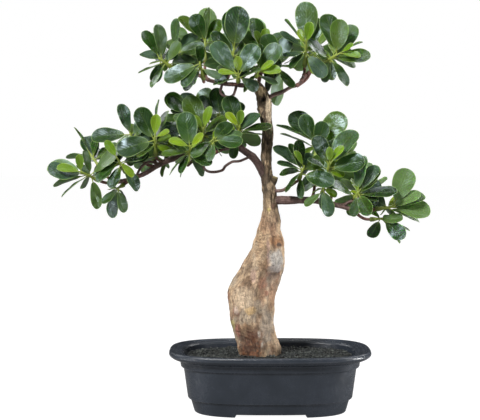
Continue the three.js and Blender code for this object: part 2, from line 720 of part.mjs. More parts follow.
// Grows the leaves of one node: each is bent by the spiral until it clears what it would cross,
// and left out where nothing is clear
function growLeaves(node, spray, young, seed) {
  const leaves = [];
  for (const { base, directions, length, bow } of leafPlans(spray, young, seed)) {
    for (let step = 0; step < TRIES; step++) {
      const bent = bentDirections(directions, step);
      const whole = leafSolid(base, bent, length, bow, GAP);
      const blade = leafSolid(base, bent, length, bow, GAP, BLADE_FROM);
      if (!isClear(whole, blade, node)) continue;
      leaves.push(leafSolid(base, bent, length, bow));
      place(node, leaves.at(-1), leafSolid(base, bent, length, bow, 0, BLADE_FROM));
      break;
    }
  }
  return leaves;
}

// A three.js mesh from a solid
function meshOf(name, solid, material) {
  const { vertProperties, triVerts, numProp } = wholePiece(solid).getMesh();
  const geometry = new THREE.BufferGeometry();
  geometry.setAttribute("position", new THREE.BufferAttribute(vertProperties, numProp));
  geometry.setIndex(new THREE.BufferAttribute(triVerts, 1));
  const mesh = new THREE.Mesh(geometry, material);
  mesh.name = name;
  return mesh;
}

const model = new THREE.Group();

const potSolid = pot();
const soilSolid = soil();
let trunkSolid = trunk();
for (const name of Object.keys(BRANCHES)) {
  trunkSolid = trunkSolid.subtract(branch(name, GAP));
}
place("pot", potSolid);
place("soil", soilSolid);
place("trunk", trunkSolid);
model.add(meshOf("pot", potSolid, POT));
model.add(meshOf("soil", soilSolid, SOIL));
model.add(meshOf("trunk", trunkSolid, WOOD));

for (const name of Object.keys(BRANCHES)) {
  const solid = branch(name);
  place(name, solid);
  model.add(meshOf(name, solid, BRANCH));
}

const sprayNames = Object.keys(SPRAYS);
const stems = {};
for (const name of sprayNames) {
  stems[`spray_${name}`] = stemSolid(SPRAYS[name]);
  if (SPRAYS[name].young) stems[`young_${name}`] = budSolid(SPRAYS[name]);
}
for (const [node, solid] of Object.entries(stems)) place(node, solid);

for (const young of [false, true]) {
  sprayNames.forEach((name, index) => {
    const node = `${young ? "young" : "spray"}_${name}`;
    if (!stems[node]) return;
    const leaves = growLeaves(node, SPRAYS[name], young, index + 1);
    const solid = leaves.reduce((sum, leaf) => sum.add(leaf), stems[node]);
    model.add(meshOf(node, solid, young ? YOUNG : LEAF));
  });
}

// The origin: the middle of the bounding box, at the height of the feet
const bounds = new THREE.Box3().setFromObject(model);
const middle = bounds.getCenter(new THREE.Vector3());
model.position.set(-middle.x, -middle.y, -bounds.min.z);

export default model;
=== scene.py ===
"""Looks of an artificial ficus bonsai in an oval planter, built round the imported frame.

Sizes are in millimetres from the middle of the planter's foot, +Z up and the front towards -Y. The
workshop moves them into the frame's metres.
"""
from __future__ import annotations

import logging
import math
from dataclasses import dataclass, field
from enum import Enum

import bpy
import numpy as np
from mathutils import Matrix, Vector
from mathutils.bvhtree import BVHTree

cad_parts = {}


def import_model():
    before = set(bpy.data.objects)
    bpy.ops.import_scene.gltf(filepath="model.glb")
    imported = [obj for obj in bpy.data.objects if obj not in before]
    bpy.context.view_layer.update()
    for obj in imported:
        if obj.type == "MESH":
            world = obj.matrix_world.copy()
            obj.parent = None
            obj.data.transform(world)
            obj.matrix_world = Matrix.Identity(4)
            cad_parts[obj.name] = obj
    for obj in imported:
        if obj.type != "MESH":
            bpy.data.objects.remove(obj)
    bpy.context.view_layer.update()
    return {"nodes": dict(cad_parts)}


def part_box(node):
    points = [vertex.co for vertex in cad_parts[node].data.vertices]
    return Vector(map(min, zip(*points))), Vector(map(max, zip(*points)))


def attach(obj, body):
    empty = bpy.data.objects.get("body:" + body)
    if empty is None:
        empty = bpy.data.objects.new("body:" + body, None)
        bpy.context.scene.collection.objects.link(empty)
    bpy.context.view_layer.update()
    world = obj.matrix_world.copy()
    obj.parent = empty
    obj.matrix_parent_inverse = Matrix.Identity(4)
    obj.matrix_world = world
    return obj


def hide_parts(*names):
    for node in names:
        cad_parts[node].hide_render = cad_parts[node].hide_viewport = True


log = logging.getLogger("bonsai")

# A millimetre in metres, the gap between moulded parts in millimetres, and a new leaf's turn in degrees
MM = 0.001
GAP = 0.3
GOLDEN_ANGLE = 137.508

Array = np.ndarray
Point = Colour = tuple[float, float, float]
Row = tuple[float, ...]
Material = bpy.types.Material


@dataclass(frozen=True)
class Limb:
    """One moulded branch: its path, its radius at both ends, and loops of thinner wire."""

    path: list[Point]
    start: float
    end: float
    loops: list[list[Point]] = field(default_factory=list)


@dataclass(frozen=True)
class Sprig:
    """One moulded spray: the branch and how far along it its twig leaves, tip, stem and leaves.

    A leaf is its clock angle in the front view, its lean forward, its length and any turn edge on.
    'more' leaves are added by a rule, and a spray with no others is at the back.
    """

    branch: str
    along: float
    tip: Point
    stem: Point
    more: int
    leaves: list[Row] = field(default_factory=list)
    young: list[Row] = field(default_factory=list)

    @property
    def facing(self) -> Array:
        """Which way its leaves turn their faces."""
        return np.array((Face.FRONT if self.leaves else Face.BACK).value)


BRANCHES: dict[str, Limb] = {
    "left": Limb([(-4, 0, 276), (-10, -1, 287), (-17, -3, 298), (-24, -5, 305), (-41, -6, 315),
        (-66, -2, 312), (-96, 0, 305), (-120, -4, 299), (-135, -8, 292), (-149, -8, 283), (-163, -8, 278),
        (-178, -7, 273)], 5.6, 2.2, [[(-24, -8, 303), (-36, -16, 298), (-45, -18, 297), (-53, -20, 292),
        (-57, -22, 287), (-66, -24, 285), (-74, -26, 286), (-79, -28, 291), (-80, -22, 300),
        (-84, -6, 307)], [(-133, -8, 293), (-143, -14, 297), (-153, -14, 291), (-160, -8, 279)]]),
    "right": Limb([(4, 0, 250.5), (24, -3, 251), (48, -6, 251), (63, -8, 249), (85, -9, 244),
        (101, -9, 239), (116, -9, 237)], 5.4, 2, [[(86, -9, 243), (95, -14, 250), (102, -16, 248),
        (108, -12, 239)]]),
    "right_thin": Limb([(4.5, -3, 262), (15, -8, 263), (23, -10, 268), (29, -10, 272)], 2.2, 1.9),
    "top_right": Limb([(-4, -1, 372), (5, -2, 377), (12, -4, 379), (18, -4, 382), (25, -5, 386),
        (32, -6, 388), (37, -7, 393), (40, -8, 400)], 2.6, 2),
    "top_left": Limb([(-20.5, -1, 390), (-32, -3, 388), (-43, -5, 389), (-57, -4, 390),
        (-72, 0, 394), (-89, 3, 402), (-105, 2, 409)], 3, 1.9, [[(-57, -4, 390), (-59, -10, 379),
        (-52, -12, 374), (-44, -11, 376), (-40, -5, 388)]]),
    "top": Limb([(-15, 2, 386), (-13, 5, 395), (-11, 8, 403)], 2.4, 2.2),
}

SPRAYS: dict[str, Sprig] = {
    "far_left_low": Sprig("left", 0.97, (-222, -20, 284), (-18, -18, 10), 0, [(160, 8, 46), (176, 22, 46),
        (196, -5, 42, 65), (213, 10, 40, 45), (34, 20, 50, 15), (106, -10, 32, 50), (284, 5, 38, 30)],
        [(162, 35, 38), (95, 20, 28)]),
    "far_left_back": Sprig("left", 0.86, (-217, 16, 306), (-16, 8, 22), 1, [(119, -5, 40, 68),
        (176, -10, 32, 70), (84, -5, 32, 60), (30, -10, 34, 10)]),
    "left_outer": Sprig("left", 0.8, (-179, -35, 300), (-8, -17, 16), 1, [(156, 5, 46), (205, 15, 36, 20),
        (20, 10, 34, 10), (250, 20, 32, 20)], [(112, 10, 30), (72, 15, 30)]),
    "left_under": Sprig("left", 0.9, (-182, -20, 265), (-8, -9, -5), 0, [(286, 10, 30, 35),
        (256, 5, 38, 20), (222, 25, 30, 30)]),
    "left_high": Sprig("left", 0.72, (-166, -18, 331), (-8, -6, 24), 1, [(180, 8, 46, 10),
        (112, 0, 40, 30), (225, 20, 34, 20), (60, 0, 36, 10)]),
    "left_middle": Sprig("left", 0.66, (-136, -32, 324), (0, -18, 20), 1, [(194, 15, 46), (116, 10, 44),
        (72, -15, 42, 60), (215, 30, 34, 50)], [(84, 20, 34), (20, 25, 26)]),
    "left_inner_back": Sprig("left", 0.6, (-123, 20, 310), (2, 11, 10), 1, [(92, -10, 44, 40),
        (181, 10, 38, 45), (253, 5, 28, 50), (30, -20, 36, 10)]),
    "middle_front": Sprig("left", 0.5, (-94, -42, 313), (4, -20, 18), 1, [(97, 0, 44), (190, 20, 34, 35),
        (246, 15, 28, 35), (330, 25, 32, 20)], [(160, 25, 34), (45, 20, 28)]),
    "middle_high": Sprig("left", 0.43, (-79, -24, 334), (2, -17, 20), 1, [(112, 5, 46), (150, 0, 40, 20),
        (40, -15, 36, 20)], [(74, 10, 34), (120, 30, 26)]),
    "middle_back": Sprig("left", 0.53, (-94, 26, 355), (-2, 6, 28), 1, [(142, 5, 40), (62, 5, 40, 10),
        (100, -15, 38, 10), (185, -10, 38, 20)]),
    "middle_low": Sprig("left", 0.4, (-66, -40, 326), (6, -14, 18), 0, [(214, 15, 34, 15), (352, 20, 36),
        (262, 30, 28, 20), (24, -5, 36, 10)]),
    "inner_front": Sprig("left", 0.28, (-37, -24, 336), (6, -17, 17), 1, [(106, 0, 42), (9, 5, 40, 35),
        (351, 20, 30, 50), (46, -10, 36, 20)], [(132, 25, 30), (85, 30, 28)]),
    "inner_back": Sprig("left", 0.33, (-60, 18, 352), (-2, 10, 26), 2, [(99, 5, 36, 10), (146, 5, 38, 10),
        (40, -10, 36)]),
    "left_rear": Sprig("left", 0.63, (-150, 52, 312), (-10, 20, 14), 4),
    "middle_rear": Sprig("left", 0.37, (-74, 60, 340), (-4, 20, 20), 4),
    "crown_far_left": Sprig("top_left", 0.95, (-132, -12, 420), (-16, -10, 12), 1, [(121, 5, 38, 35),
        (94, 0, 42, 55), (104, -20, 38), (207, 15, 34, 45), (238, 10, 34, 30), (60, 5, 30, 20)]),
    "crown_left_back": Sprig("top_left", 0.9, (-114, 18, 433), (-6, 8, 24), 1, [(90, 5, 38, 45),
        (142, -10, 38, 55), (10, 20, 36), (55, -10, 36, 10)]),
    "crown_left": Sprig("top_left", 0.72, (-83, -32, 414), (-4, -14, 20), 0, [(204, 5, 46),
        (226, 25, 34, 10), (238, 0, 34, 20), (330, 20, 28, 20), (95, 10, 28, 50)]),
    "crown_left_high": Sprig("top_left", 0.68, (-78, 12, 444), (0, 6, 28), 1, [(142, 5, 42, 20),
        (120, 10, 36), (85, 0, 44, 60), (70, 5, 36, 20), (20, 5, 34, 20)]),
    "crown_middle": Sprig("top_left", 0.45, (-43, -12, 431), (4, -6, 26), 1, [(98, 0, 46, 10),
        (60, 0, 42, 50), (135, 15, 36, 10), (165, 0, 34, 20), (30, 15, 34, 20)]),
    "crown_middle_front": Sprig("top_left", 0.36, (-38, -37, 399), (0, -16, 8), 0, [(130, 5, 48),
        (60, 5, 42), (200, 20, 32, 40), (15, 15, 30, 30)], [(170, 20, 32), (92, 35, 28)]),
    "crown_inner_front": Sprig("top", 0.5, (-15, -30, 402), (2, -18, 4), 0, [(102, 10, 34, 45),
        (70, 5, 42, 10), (140, 20, 32, 20), (330, 20, 28, 30)], [(5, 20, 34), (48, 30, 28)]),
    "crown_centre": Sprig("top", 1, (-10, 0, 430), (1, -14, 22), 1, [(94, 5, 44, 30), (130, -5, 38, 10),
        (50, -10, 38, 20), (165, 10, 34, 20)], [(76, 15, 30), (110, 25, 28)]),
    "crown_right": Sprig("top", 0.9, (13, -6, 413), (18, -6, 8), 1, [(116, 5, 40), (76, 10, 36, 10),
        (298, 5, 34, 30), (150, 20, 30, 20), (40, 0, 34, 30)]),
    "crown_right_high": Sprig("top_right", 1, (42, -20, 434), (1, -18, 24), 1, [(94, 5, 54),
        (152, 0, 36, 20), (228, 15, 30, 40), (196, 25, 30, 20), (74, -15, 46, 10)], [(60, 15, 34),
        (118, 30, 28)]),
    "crown_far_right": Sprig("top_right", 0.86, (80, -16, 424), (20, -18, 10), 1, [(102, 0, 50, 20),
        (82, 10, 44, 20), (57, 0, 44), (40, -10, 40, 55), (1, 10, 46, 10), (308, 10, 38, 25),
        (142, 15, 36, 20)], [(355, 30, 32), (30, 30, 26)]),
    "crown_left_rear": Sprig("top_left", 0.8, (-98, 48, 434), (-4, 20, 20), 4),
    "crown_rear": Sprig("top", 0.8, (-28, 48, 436), (-6, 20, 20), 4),
    "crown_right_rear": Sprig("top_right", 0.7, (58, 36, 438), (6, 18, 24), 4),
    "right_inner": Sprig("right_thin", 1, (39, -20, 289), (5, -10, 13), 0, [(162, 10, 32, 30),
        (110, -5, 36, 45), (101, 15, 40, 30), (356, 15, 42), (270, 10, 28, 50)], [(130, 25, 30),
        (60, 25, 26)]),
    "right_high": Sprig("right", 0.3, (56, 4, 322), (2, 2, 26), 1, [(121, 15, 38), (124, -18, 52),
        (48, 0, 50), (155, 0, 46, 55), (85, 10, 36, 20)]),
    "right_middle": Sprig("right", 0.42, (69, -25, 294), (3, -18, 18), 1, [(100, 15, 38, 30),
        (58, -5, 54, 15), (10, 5, 44), (150, 20, 28, 20)], [(55, 20, 32), (92, 35, 26)]),
    "right_outer": Sprig("right", 0.62, (104, -22, 261), (4, -13, 8), 1, [(87, 5, 44, 45),
        (55, 0, 40, 25), (4, 10, 48, 30), (356, 30, 28, 40), (150, 15, 34, 10)]),
    "right_low": Sprig("right", 0.46, (62, -22, 267), (0, -10, 8), 0, [(286, 10, 34), (5, 15, 42),
        (60, 20, 28, 20), (215, 20, 28, 30), (120, 25, 26, 20)]),
    "right_end": Sprig("right", 1, (148, -14, 244), (22, -10, 4), 1, [(78, 5, 48), (34, 15, 38, 20),
        (355, 8, 48), (20, -10, 46, 20), (340, -8, 44, 40)]),
    "right_end_low": Sprig("right", 0.78, (136, -4, 229), (17, 2, 1), 0, [(312, 10, 36, 50),
        (338, 0, 38, 40), (24, 20, 30, 30)]),
    "right_rear": Sprig("right", 0.52, (82, 46, 300), (6, 20, 20), 4),
    "right_end_rear": Sprig("right", 0.8, (118, 34, 262), (10, 18, 8), 4),
}

# Leaves added here and not in the CAD: where each one's end is, and how far it is turned
REACHING: dict[str, list[Row]] = {
    "crown_left_high": [(-74, 16, 482, 84)],
    "crown_middle": [(-37, -6, 478, 86)],
    "crown_centre": [(-14, -8, 474, 50), (-22, 8, 468, 60)],
    "crown_right_high": [(19, -4, 466, 70)],
    "crown_left_back": [(-142, 14, 457, 72)],
    "crown_right": [(8, -2, 366, 64)],
    "left_middle": [(-134, -22, 370, 80)],
    "middle_back": [(-123, 20, 372, 30)],
    "middle_front": [(-120, -38, 283, 60), (-108, -30, 280, 30)],
    "left_inner_back": [(-162, 16, 292, 60)],
    "inner_front": [(-14, -14, 318, 50)],
    "right_inner": [(6, -10, 317, 30), (17, -20, 262, 50)],
    "right_high": [(9, -8, 342, 58)],
    "right_outer": [(126, -10, 293, 50), (115, -16, 236, 50)],
    "right_end_low": [(157, -10, 208, 30)],
}

# Sprays whose leaves turn their undersides to the front
UNDERSIDES = {"right_end": 1.0, "right_end_low": 0.7, "far_left_low": 0.6, "crown_far_left": 0.4}


class Side(Enum):
    """Which side of the trunk a mark is on, as the sign of Y."""

    FRONT = -1
    BACK = 1


class Face(Enum):
    """Which way the leaves of a spray turn their faces."""

    FRONT = (0.0, -0.8, 0.6)
    BACK = (0.0, 0.72, 0.69)


class Kind(Enum):
    """Which of a spray's two nodes a piece stands for, as its name begins."""

    SPRAY = "spray"
    YOUNG = "young"


def paint(red: int, green: int, blue: int) -> Colour:
    """A screen colour as linear light: ((c + 0.055) / 1.055)^2.4, or c / 12.92 where it is dark."""
    share = np.array([red, green, blue]) / 255
    return tuple(np.where(share > 0.04045, ((share + 0.055) / 1.055) ** 2.4, share / 12.92).tolist())


def opaque(colours: Array) -> Array:
    """Colours with a fourth value of one."""
    return np.concatenate([colours, np.ones((*colours.shape[:-1], 1))], axis=-1)


def toward(colours: Array, goal: Colour, share: Array) -> Array:
    """Colours moved towards another by a share."""
    return colours + (np.array(goal) - colours) * share[..., None]


def unit(vectors: Array) -> Array:
    """Vectors scaled to a length of one, along the last axis."""
    return vectors / np.maximum(np.linalg.norm(vectors, axis=-1, keepdims=True), 1e-9)


def turns(count: int) -> Array:
    """Even angles round a circle, in radians."""
    return 2 * np.pi * np.arange(count) / count


def blend(low: float, high: float, value: Array) -> Array:
    """A smooth step from 0 at low to 1 at high: 3t^2 - 2t^3."""
    share = np.clip((value - low) / (high - low), 0, 1)
    return share * share * (3 - 2 * share)


def draw(seed: float, low: float = 0.0, high: float = 1.0) -> float:
    """A seeded draw from low to high, by the fraction of a large multiple of a sine."""
    value = math.sin(seed * 12.9898 + 4.1) * 43758.5453
    return low + (high - low) * (value - math.floor(value))


def grain(points: Array, size: float, seed: float = 0.0) -> Array:
    """Smooth noise: a hashed value at each corner of a cubic lattice, blended by a smooth step.

    Args:
        points: places, (..., 3).
        size: the lattice's pitch, in the points' unit.
        seed: which noise it is.

    Returns:
        Values from -1 to 1, (...).
    """
    low = np.floor(points / size)
    share = blend(0, 1, points / size - low)
    total = np.zeros(points.shape[:-1])
    for corner in np.ndindex(2, 2, 2):
        hashed = np.sin((low + corner) @ np.array([127.1, 311.7, 74.7]) + seed * 13.7) * 43758.5453
        weight = np.prod(np.where(np.array(corner) == 1, share, 1 - share), axis=-1)
        total += weight * (hashed - np.floor(hashed))
    return 2 * total - 1


def layered(points: Array, size: float, seed: float, layers: int = 3) -> Array:
    """Noise summed over layers, each half the size and strength of the one before."""
    return sum(grain(points, size / 2**n, seed + 5 * n) / 2**n for n in range(layers))


def creased(points: Array, size: float, seed: float) -> Array:
    """Thin cracks, from 0 to 1, where noise crosses nothing: e to the minus (noise / 0.13)^2."""
    return np.exp(-((layered(points, size, seed, 2) / 0.13) ** 2))


def hermite(t: Array, start: Array, leaving: Array, end: Array, arriving: Array) -> Array:
    """A cubic from start to end at t from 0 to 1, with a slope at each end."""
    first, second = (2 * t**3 - 3 * t**2 + 1) * start, (t**3 - 2 * t**2 + t) * leaving
    return first + second + (3 * t**2 - 2 * t**3) * end + (t**3 - t**2) * arriving


def smooth_through(at: Array, values: Array, wanted: Array) -> Array:
    """A cubic curve through values, with the mean slope of both sides at each.

    Args:
        at: where the values stand, rising, (n,).
        values: (n, k).
        wanted: where the curve is read, (m,).

    Returns:
        The curve's values, (m, k).
    """
    slope = np.gradient(values, at, axis=0)
    low = np.clip(np.searchsorted(at, wanted, side="right") - 1, 0, len(at) - 2)
    span = (at[low + 1] - at[low])[:, None]
    t = (wanted[:, None] - at[low][:, None]) / span
    return hermite(t, values[low], span * slope[low], values[low + 1], span * slope[low + 1])


def path_points(points: Array, shares: Array) -> Array:
    """A uniform Catmull-Rom path, with each end run on in a straight line.

    Args:
        points: the points that it passes, (n, 3).
        shares: how far along, from 0 to 1, with the same share for each span.

    Returns:
        Places on the path, (m, 3).
    """
    whole = np.vstack([2 * points[0] - points[1], points, 2 * points[-1] - points[-2]])
    place = np.clip(shares, 0, 1) * (len(points) - 1)
    index = np.minimum(place.astype(int), len(points) - 2)
    before, here, there, after = (whole[index + n] for n in range(4))
    return hermite((place - index)[:, None], here, (there - before) / 2, there, (after - here) / 2)


def path_direction(points: Array, share: float) -> Array:
    """The direction of a path at a share of its length."""
    nearby = path_points(points, np.array([max(share - 1e-4, 0), min(share + 1e-4, 1)]))
    return unit(nearby[1] - nearby[0])


def bezier(controls: list[Array], shares: Array) -> Array:
    """A cubic Bezier curve: the four controls weighed by the cubic Bernstein shares."""
    t, (a, b, c, d) = shares[:, None], controls
    return (1 - t) ** 3 * a + 3 * t * (1 - t) ** 2 * b + 3 * t**2 * (1 - t) * c + t**3 * d


def line_distance(places: Array, points: list[Row]) -> Array:
    """How far places are from a line through points: the least distance to any of its spans.

    Args:
        places: (..., 2).
        points: the line's corners.

    Returns:
        Distances, (...).
    """
    best = np.full(places.shape[:-1], np.inf)
    for start, end in zip(np.array(points[:-1], float), np.array(points[1:], float)):
        span = end - start
        share = np.clip(((places - start) @ span) / (span @ span), 0, 1)
        best = np.minimum(best, np.linalg.norm(places - start - share[..., None] * span, axis=-1))
    return best


@dataclass
class Surface:
    """Points with faces, in arrays of one number of corners each, and what the finishes read there.

    'flow' is the place on the surface when it is laid straight, and 'tone' four shares or a colour.
    """

    points: Array
    faces: tuple[Array, ...]
    flow: Array
    tone: Array


def ring_quads(rows: int, columns: int) -> Array:
    """The faces between rings of as many points each, whose columns meet again.

    Args:
        rows: the number of rings.
        columns: points in a ring, anticlockwise as seen from the last ring.

    Returns:
        Corner numbers, (faces, 4), facing outwards.
    """
    row, column = np.meshgrid(np.arange(rows - 1), np.arange(columns), indexing="ij")
    here, there = row * columns + column, row * columns + (column + 1) % columns
    return np.stack([here, there, there + columns, here + columns], axis=-1).reshape(-1, 4)


def lofted(rings: Array, flow: Array, tone: Array) -> Surface:
    """A closed surface through rings, with a pole in the middle of the first and the last.

    Args:
        rings: the rings' points, (rows, columns, 3), anticlockwise as seen from the last ring.
        flow: (rows, columns, 3).
        tone: (rows, columns, 4), or anything that spreads to it.

    Returns:
        The surface, facing outwards.
    """
    rows, columns = rings.shape[:2]
    turn = np.arange(columns)
    after, last, foot = (turn + 1) % columns, (rows - 1) * columns, np.full(columns, rows * columns)
    low = np.stack([foot, after, turn], axis=1)
    high = np.stack([foot + 1, last + turn, last + after], axis=1)
    points, flow, tone = (
        np.vstack([values.reshape(-1, values.shape[-1]), values[0].mean(0), values[-1].mean(0)])
        for values in (rings, flow, np.broadcast_to(tone, (rows, columns, 4)))
    )
    return Surface(points, (ring_quads(rows, columns), np.vstack([low, high])), flow, tone)


def frames_along(path: Array) -> tuple[Array, Array, Array]:
    """Two directions across a path at each of its points, carried along it without a twist.

    Args:
        path: (n, 3).

    Returns:
        The path's own directions and both across, (n, 3) each, right-handed as across, other, along.
    """
    along = unit(np.gradient(path, axis=0))
    across = np.zeros_like(along)
    guess = np.array([0.31, 0.87, 0.39])
    for step, direction in enumerate(along):
        guess = unit(guess - direction * (guess @ direction))
        across[step] = guess
    return along, across, np.cross(along, across)


def tube(path: Array, radii: Array, columns: int, tone: Row, relief: float = 0.0) -> Surface:
    """A round bar along a path, with rounded ends and a rough skin.

    Each ring is centre + r (across cos a + other sin a), and r is the radius times one plus the
    relief times noise in the straightened bar.

    Args:
        path: (n, 3).
        radii: (n,).
        columns: points round it.
        tone: four values for the finish.
        relief: the skin's roughness, as a share of the radius.

    Returns:
        The closed surface.
    """
    along, across, other = frames_along(path)
    ends = np.array([0.0, 0.55, 0.9])
    foot = path[0] - along[0] * radii[0] * 0.45 * (1 - ends[:, None])
    head = path[-1] + along[-1] * radii[-1] * 0.45 * (1 - ends[::-1, None])
    path, swell = np.vstack([foot, path[1:-1], head]), 0.45 + 0.55 * ends
    radii = np.concatenate([radii[0] * swell, radii[1:-1], radii[-1] * swell[::-1]])
    across, other = (np.vstack([v[[0] * 2], v, v[[-1] * 2]])[:, None] for v in (across, other))
    travel = np.concatenate([[0], np.cumsum(np.linalg.norm(np.diff(path, axis=0), axis=1))])
    cos, sin = np.cos(turns(columns))[:, None], np.sin(turns(columns))[:, None]
    radii = np.broadcast_to(radii[:, None, None], (len(path), columns, 1))
    up = np.broadcast_to(travel[:, None, None], radii.shape)
    flow = np.concatenate([radii * cos, radii * sin, up], axis=-1)
    if relief:
        radii = radii * (1 + relief * layered(flow * [1, 1, 0.35] + path[0], 2.4, 3.0))[..., None]
    return lofted(path[:, None] + radii * (cos * across + sin * other), flow, np.array(tone))


def put(name: str, data: bpy.types.ID) -> bpy.types.Object:
    """Puts data in the scene.

    Args:
        name: the object's name.
        data: its mesh, lamp or camera.

    Returns:
        The object, at the origin.
    """
    thing = bpy.data.objects.new(name, data)
    bpy.context.scene.collection.objects.link(thing)
    return thing


@dataclass
class Workshop:
    """Where the planter's middle stands in the frame, in millimetres, and every finish by name."""

    middle: Array
    finishes: dict[str, Material]

    def metres(self, points: Array) -> Array:
        """Points of this script as the frame's metres."""
        return (points + self.middle) * MM

    def node_points(self, node: bpy.types.Object) -> Array:
        """The corners of a frame node, in this script's millimetres.

        Args:
            node: the frame's object.

        Returns:
            (n, 3).
        """
        corners = np.zeros(len(node.data.vertices) * 3)
        node.data.vertices.foreach_get("co", corners)
        return corners.reshape(-1, 3) / MM - self.middle


@dataclass
class Piece:
    """The surfaces of one visible piece, each with the number of its finish among the piece's own."""

    name: str
    parts: list[tuple[Surface, int]]

    def make(self, shop: Workshop, slot: str, crease: float, others: tuple[str, ...] = ()) -> None:
        """Makes the mesh, dresses it, and lets it stand for the CAD node of the same name.

        Args:
            shop: the workshop.
            slot: the record's material slot, which is its first finish's name too.
            crease: the angle in degrees past which an edge is shaded sharp.
            others: the names of its further finishes.
        """
        faces, kinds, start = [], [], 0
        for surface, finish in self.parts:
            for corners in surface.faces:
                faces += (corners + start).tolist()
                kinds += [finish] * len(corners)
            start += len(surface.points)
        points = shop.metres(np.vstack([surface.points for surface, _ in self.parts]))
        mesh = bpy.data.meshes.new(self.name)
        mesh.from_pydata(points.tolist(), [], faces)
        mesh.polygons.foreach_set("material_index", kinds)
        for label, kind, key in (("flow", "FLOAT_VECTOR", "vector"), ("tone", "FLOAT_COLOR", "color")):
            values = np.vstack([getattr(surface, label) for surface, _ in self.parts])
            mesh.attributes.new(label, kind, "POINT").data.foreach_set(key, values.ravel())
        mesh.shade_smooth()
        mesh.set_sharp_from_angle(angle=math.radians(crease))
        for finish in (slot, *others):
            mesh.materials.append(shop.finishes[finish])
        piece = put(f"{self.name}_look", mesh)
        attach(piece, "root")
        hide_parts(self.name)
        log.info("%s: %d faces", piece.name, len(mesh.polygons))


@dataclass(frozen=True)
class Signal:
    """A value in a node tree, which is reckoned with like a number."""

    tree: Tree
    socket: bpy.types.NodeSocket

    def __add__(self, other: Value) -> Signal:
        """The sum."""
        return self.tree.math("ADD", self, other)

    def __sub__(self, other: Value) -> Signal:
        """The difference."""
        return self.tree.math("SUBTRACT", self, other)

    def __rsub__(self, other: Value) -> Signal:
        """What is left of a number."""
        return self.tree.math("SUBTRACT", other, self)

    def __mul__(self, other: Value) -> Signal:
        """The product."""
        return self.tree.math("MULTIPLY", self, other)

    def __abs__(self) -> Signal:
        """The size without its sign."""
        return self.tree.math("ABSOLUTE", self)


Value = Signal | float | Colour
Inputs = dict[str | int, Value]


class Tree:
    """Puts together the nodes of one material, world or group."""

    def __init__(self, owner: bpy.types.ID) -> None:
        """Starts without a node.

        Args:
            owner: a node group, or the material or world that the nodes are for.
        """
        if not isinstance(owner, bpy.types.NodeTree):
            owner.use_nodes = True
            owner = owner.node_tree
        self.tree = owner
        owner.nodes.clear()

    def add(self, kind: str, inputs: Inputs, **settings: object) -> bpy.types.Node:
        """Adds a node.

        Args:
            kind: its Blender type.
            inputs: what each input is given, by name or number.
            settings: the node's own settings.

        Returns:
            The node.
        """
        node = self.tree.nodes.new(kind)
        for name, value in settings.items():
            setattr(node, name, value)
        for name, value in inputs.items():
            socket = node.inputs[name]
            if isinstance(value, Signal):
                self.tree.links.new(value.socket, socket)
            elif isinstance(value, tuple) and len(socket.default_value) == 4:
                socket.default_value = (*value, 1.0)
            else:
                socket.default_value = value
        return node

    def get(self, kind: str, inputs: Inputs, output: str | int = 0, **settings: object) -> Signal:
        """Adds a node and gives one of its outputs."""
        return Signal(self, self.add(f"ShaderNode{kind}", inputs, **settings).outputs[output])

    def math(self, operation: str, *values: Value) -> Signal:
        """A calculation on one or two values."""
        return self.get("Math", dict(enumerate(values)), operation=operation)

    def step(self, value: Value, low: Value, high: Value) -> Signal:
        """A smooth step from 0 at low to 1 at high."""
        inputs = {"Value": value, "From Min": low, "From Max": high}
        return self.get("MapRange", inputs, interpolation_type="SMOOTHSTEP")

    def span(self, value: Value, low: float, high: float) -> Signal:
        """A value from 0 to 1 spread from low to high."""
        return self.get("MapRange", {"Value": value, "To Min": low, "To Max": high})

    def mix(self, share: Value, first: Value, second: Value, way: str = "MIX") -> Signal:
        """Two colours mixed by a share, where 0 gives the first."""
        return self.get("Mix", {0: share, 6: first, 7: second}, 2, data_type="RGBA", blend_type=way)

    def noise(self, vector: Signal, scale: Value, detail: Value, roughness: float) -> Signal:
        """Noise round a half."""
        inputs = {"Vector": vector, "Scale": scale, "Detail": detail, "Roughness": roughness}
        return self.get("TexNoise", inputs)

    def rays(self, *kinds: str) -> list[Signal]:
        """Whether a ray is of each kind."""
        return [self.get("LightPath", {}, f"Is {kind} Ray") for kind in kinds]

    def split(self, vector: Signal, kind: str = "XYZ") -> list[Signal]:
        """The three parts of a vector or colour."""
        node = self.add(f"ShaderNodeSeparate{kind}", {0: vector})
        return [Signal(self, socket) for socket in node.outputs]


class Group(Tree):
    """A node group that gives out masks, which materials find by its name."""

    def __init__(self, name: str, **inputs: float | None) -> None:
        """Starts a group.

        Args:
            name: its name.
            inputs: each input's first value, or None for a vector.
        """
        super().__init__(bpy.data.node_groups.new(name, "ShaderNodeTree"))
        for label, value in inputs.items():
            kind = "NodeSocketVector" if value is None else "NodeSocketFloat"
            socket = self.tree.interface.new_socket(label, in_out="INPUT", socket_type=kind)
            if value is not None:
                socket.default_value = value
        entry = self.add("NodeGroupInput", {})
        self.given = [Signal(self, entry.outputs[label]) for label in inputs]

    def give(self, **masks: Signal) -> None:
        """Sends masks out of the group.

        Args:
            masks: each mask by name.
        """
        for label in masks:
            self.tree.interface.new_socket(label, in_out="OUTPUT", socket_type="NodeSocketFloat")
        self.add("NodeGroupOutput", masks)


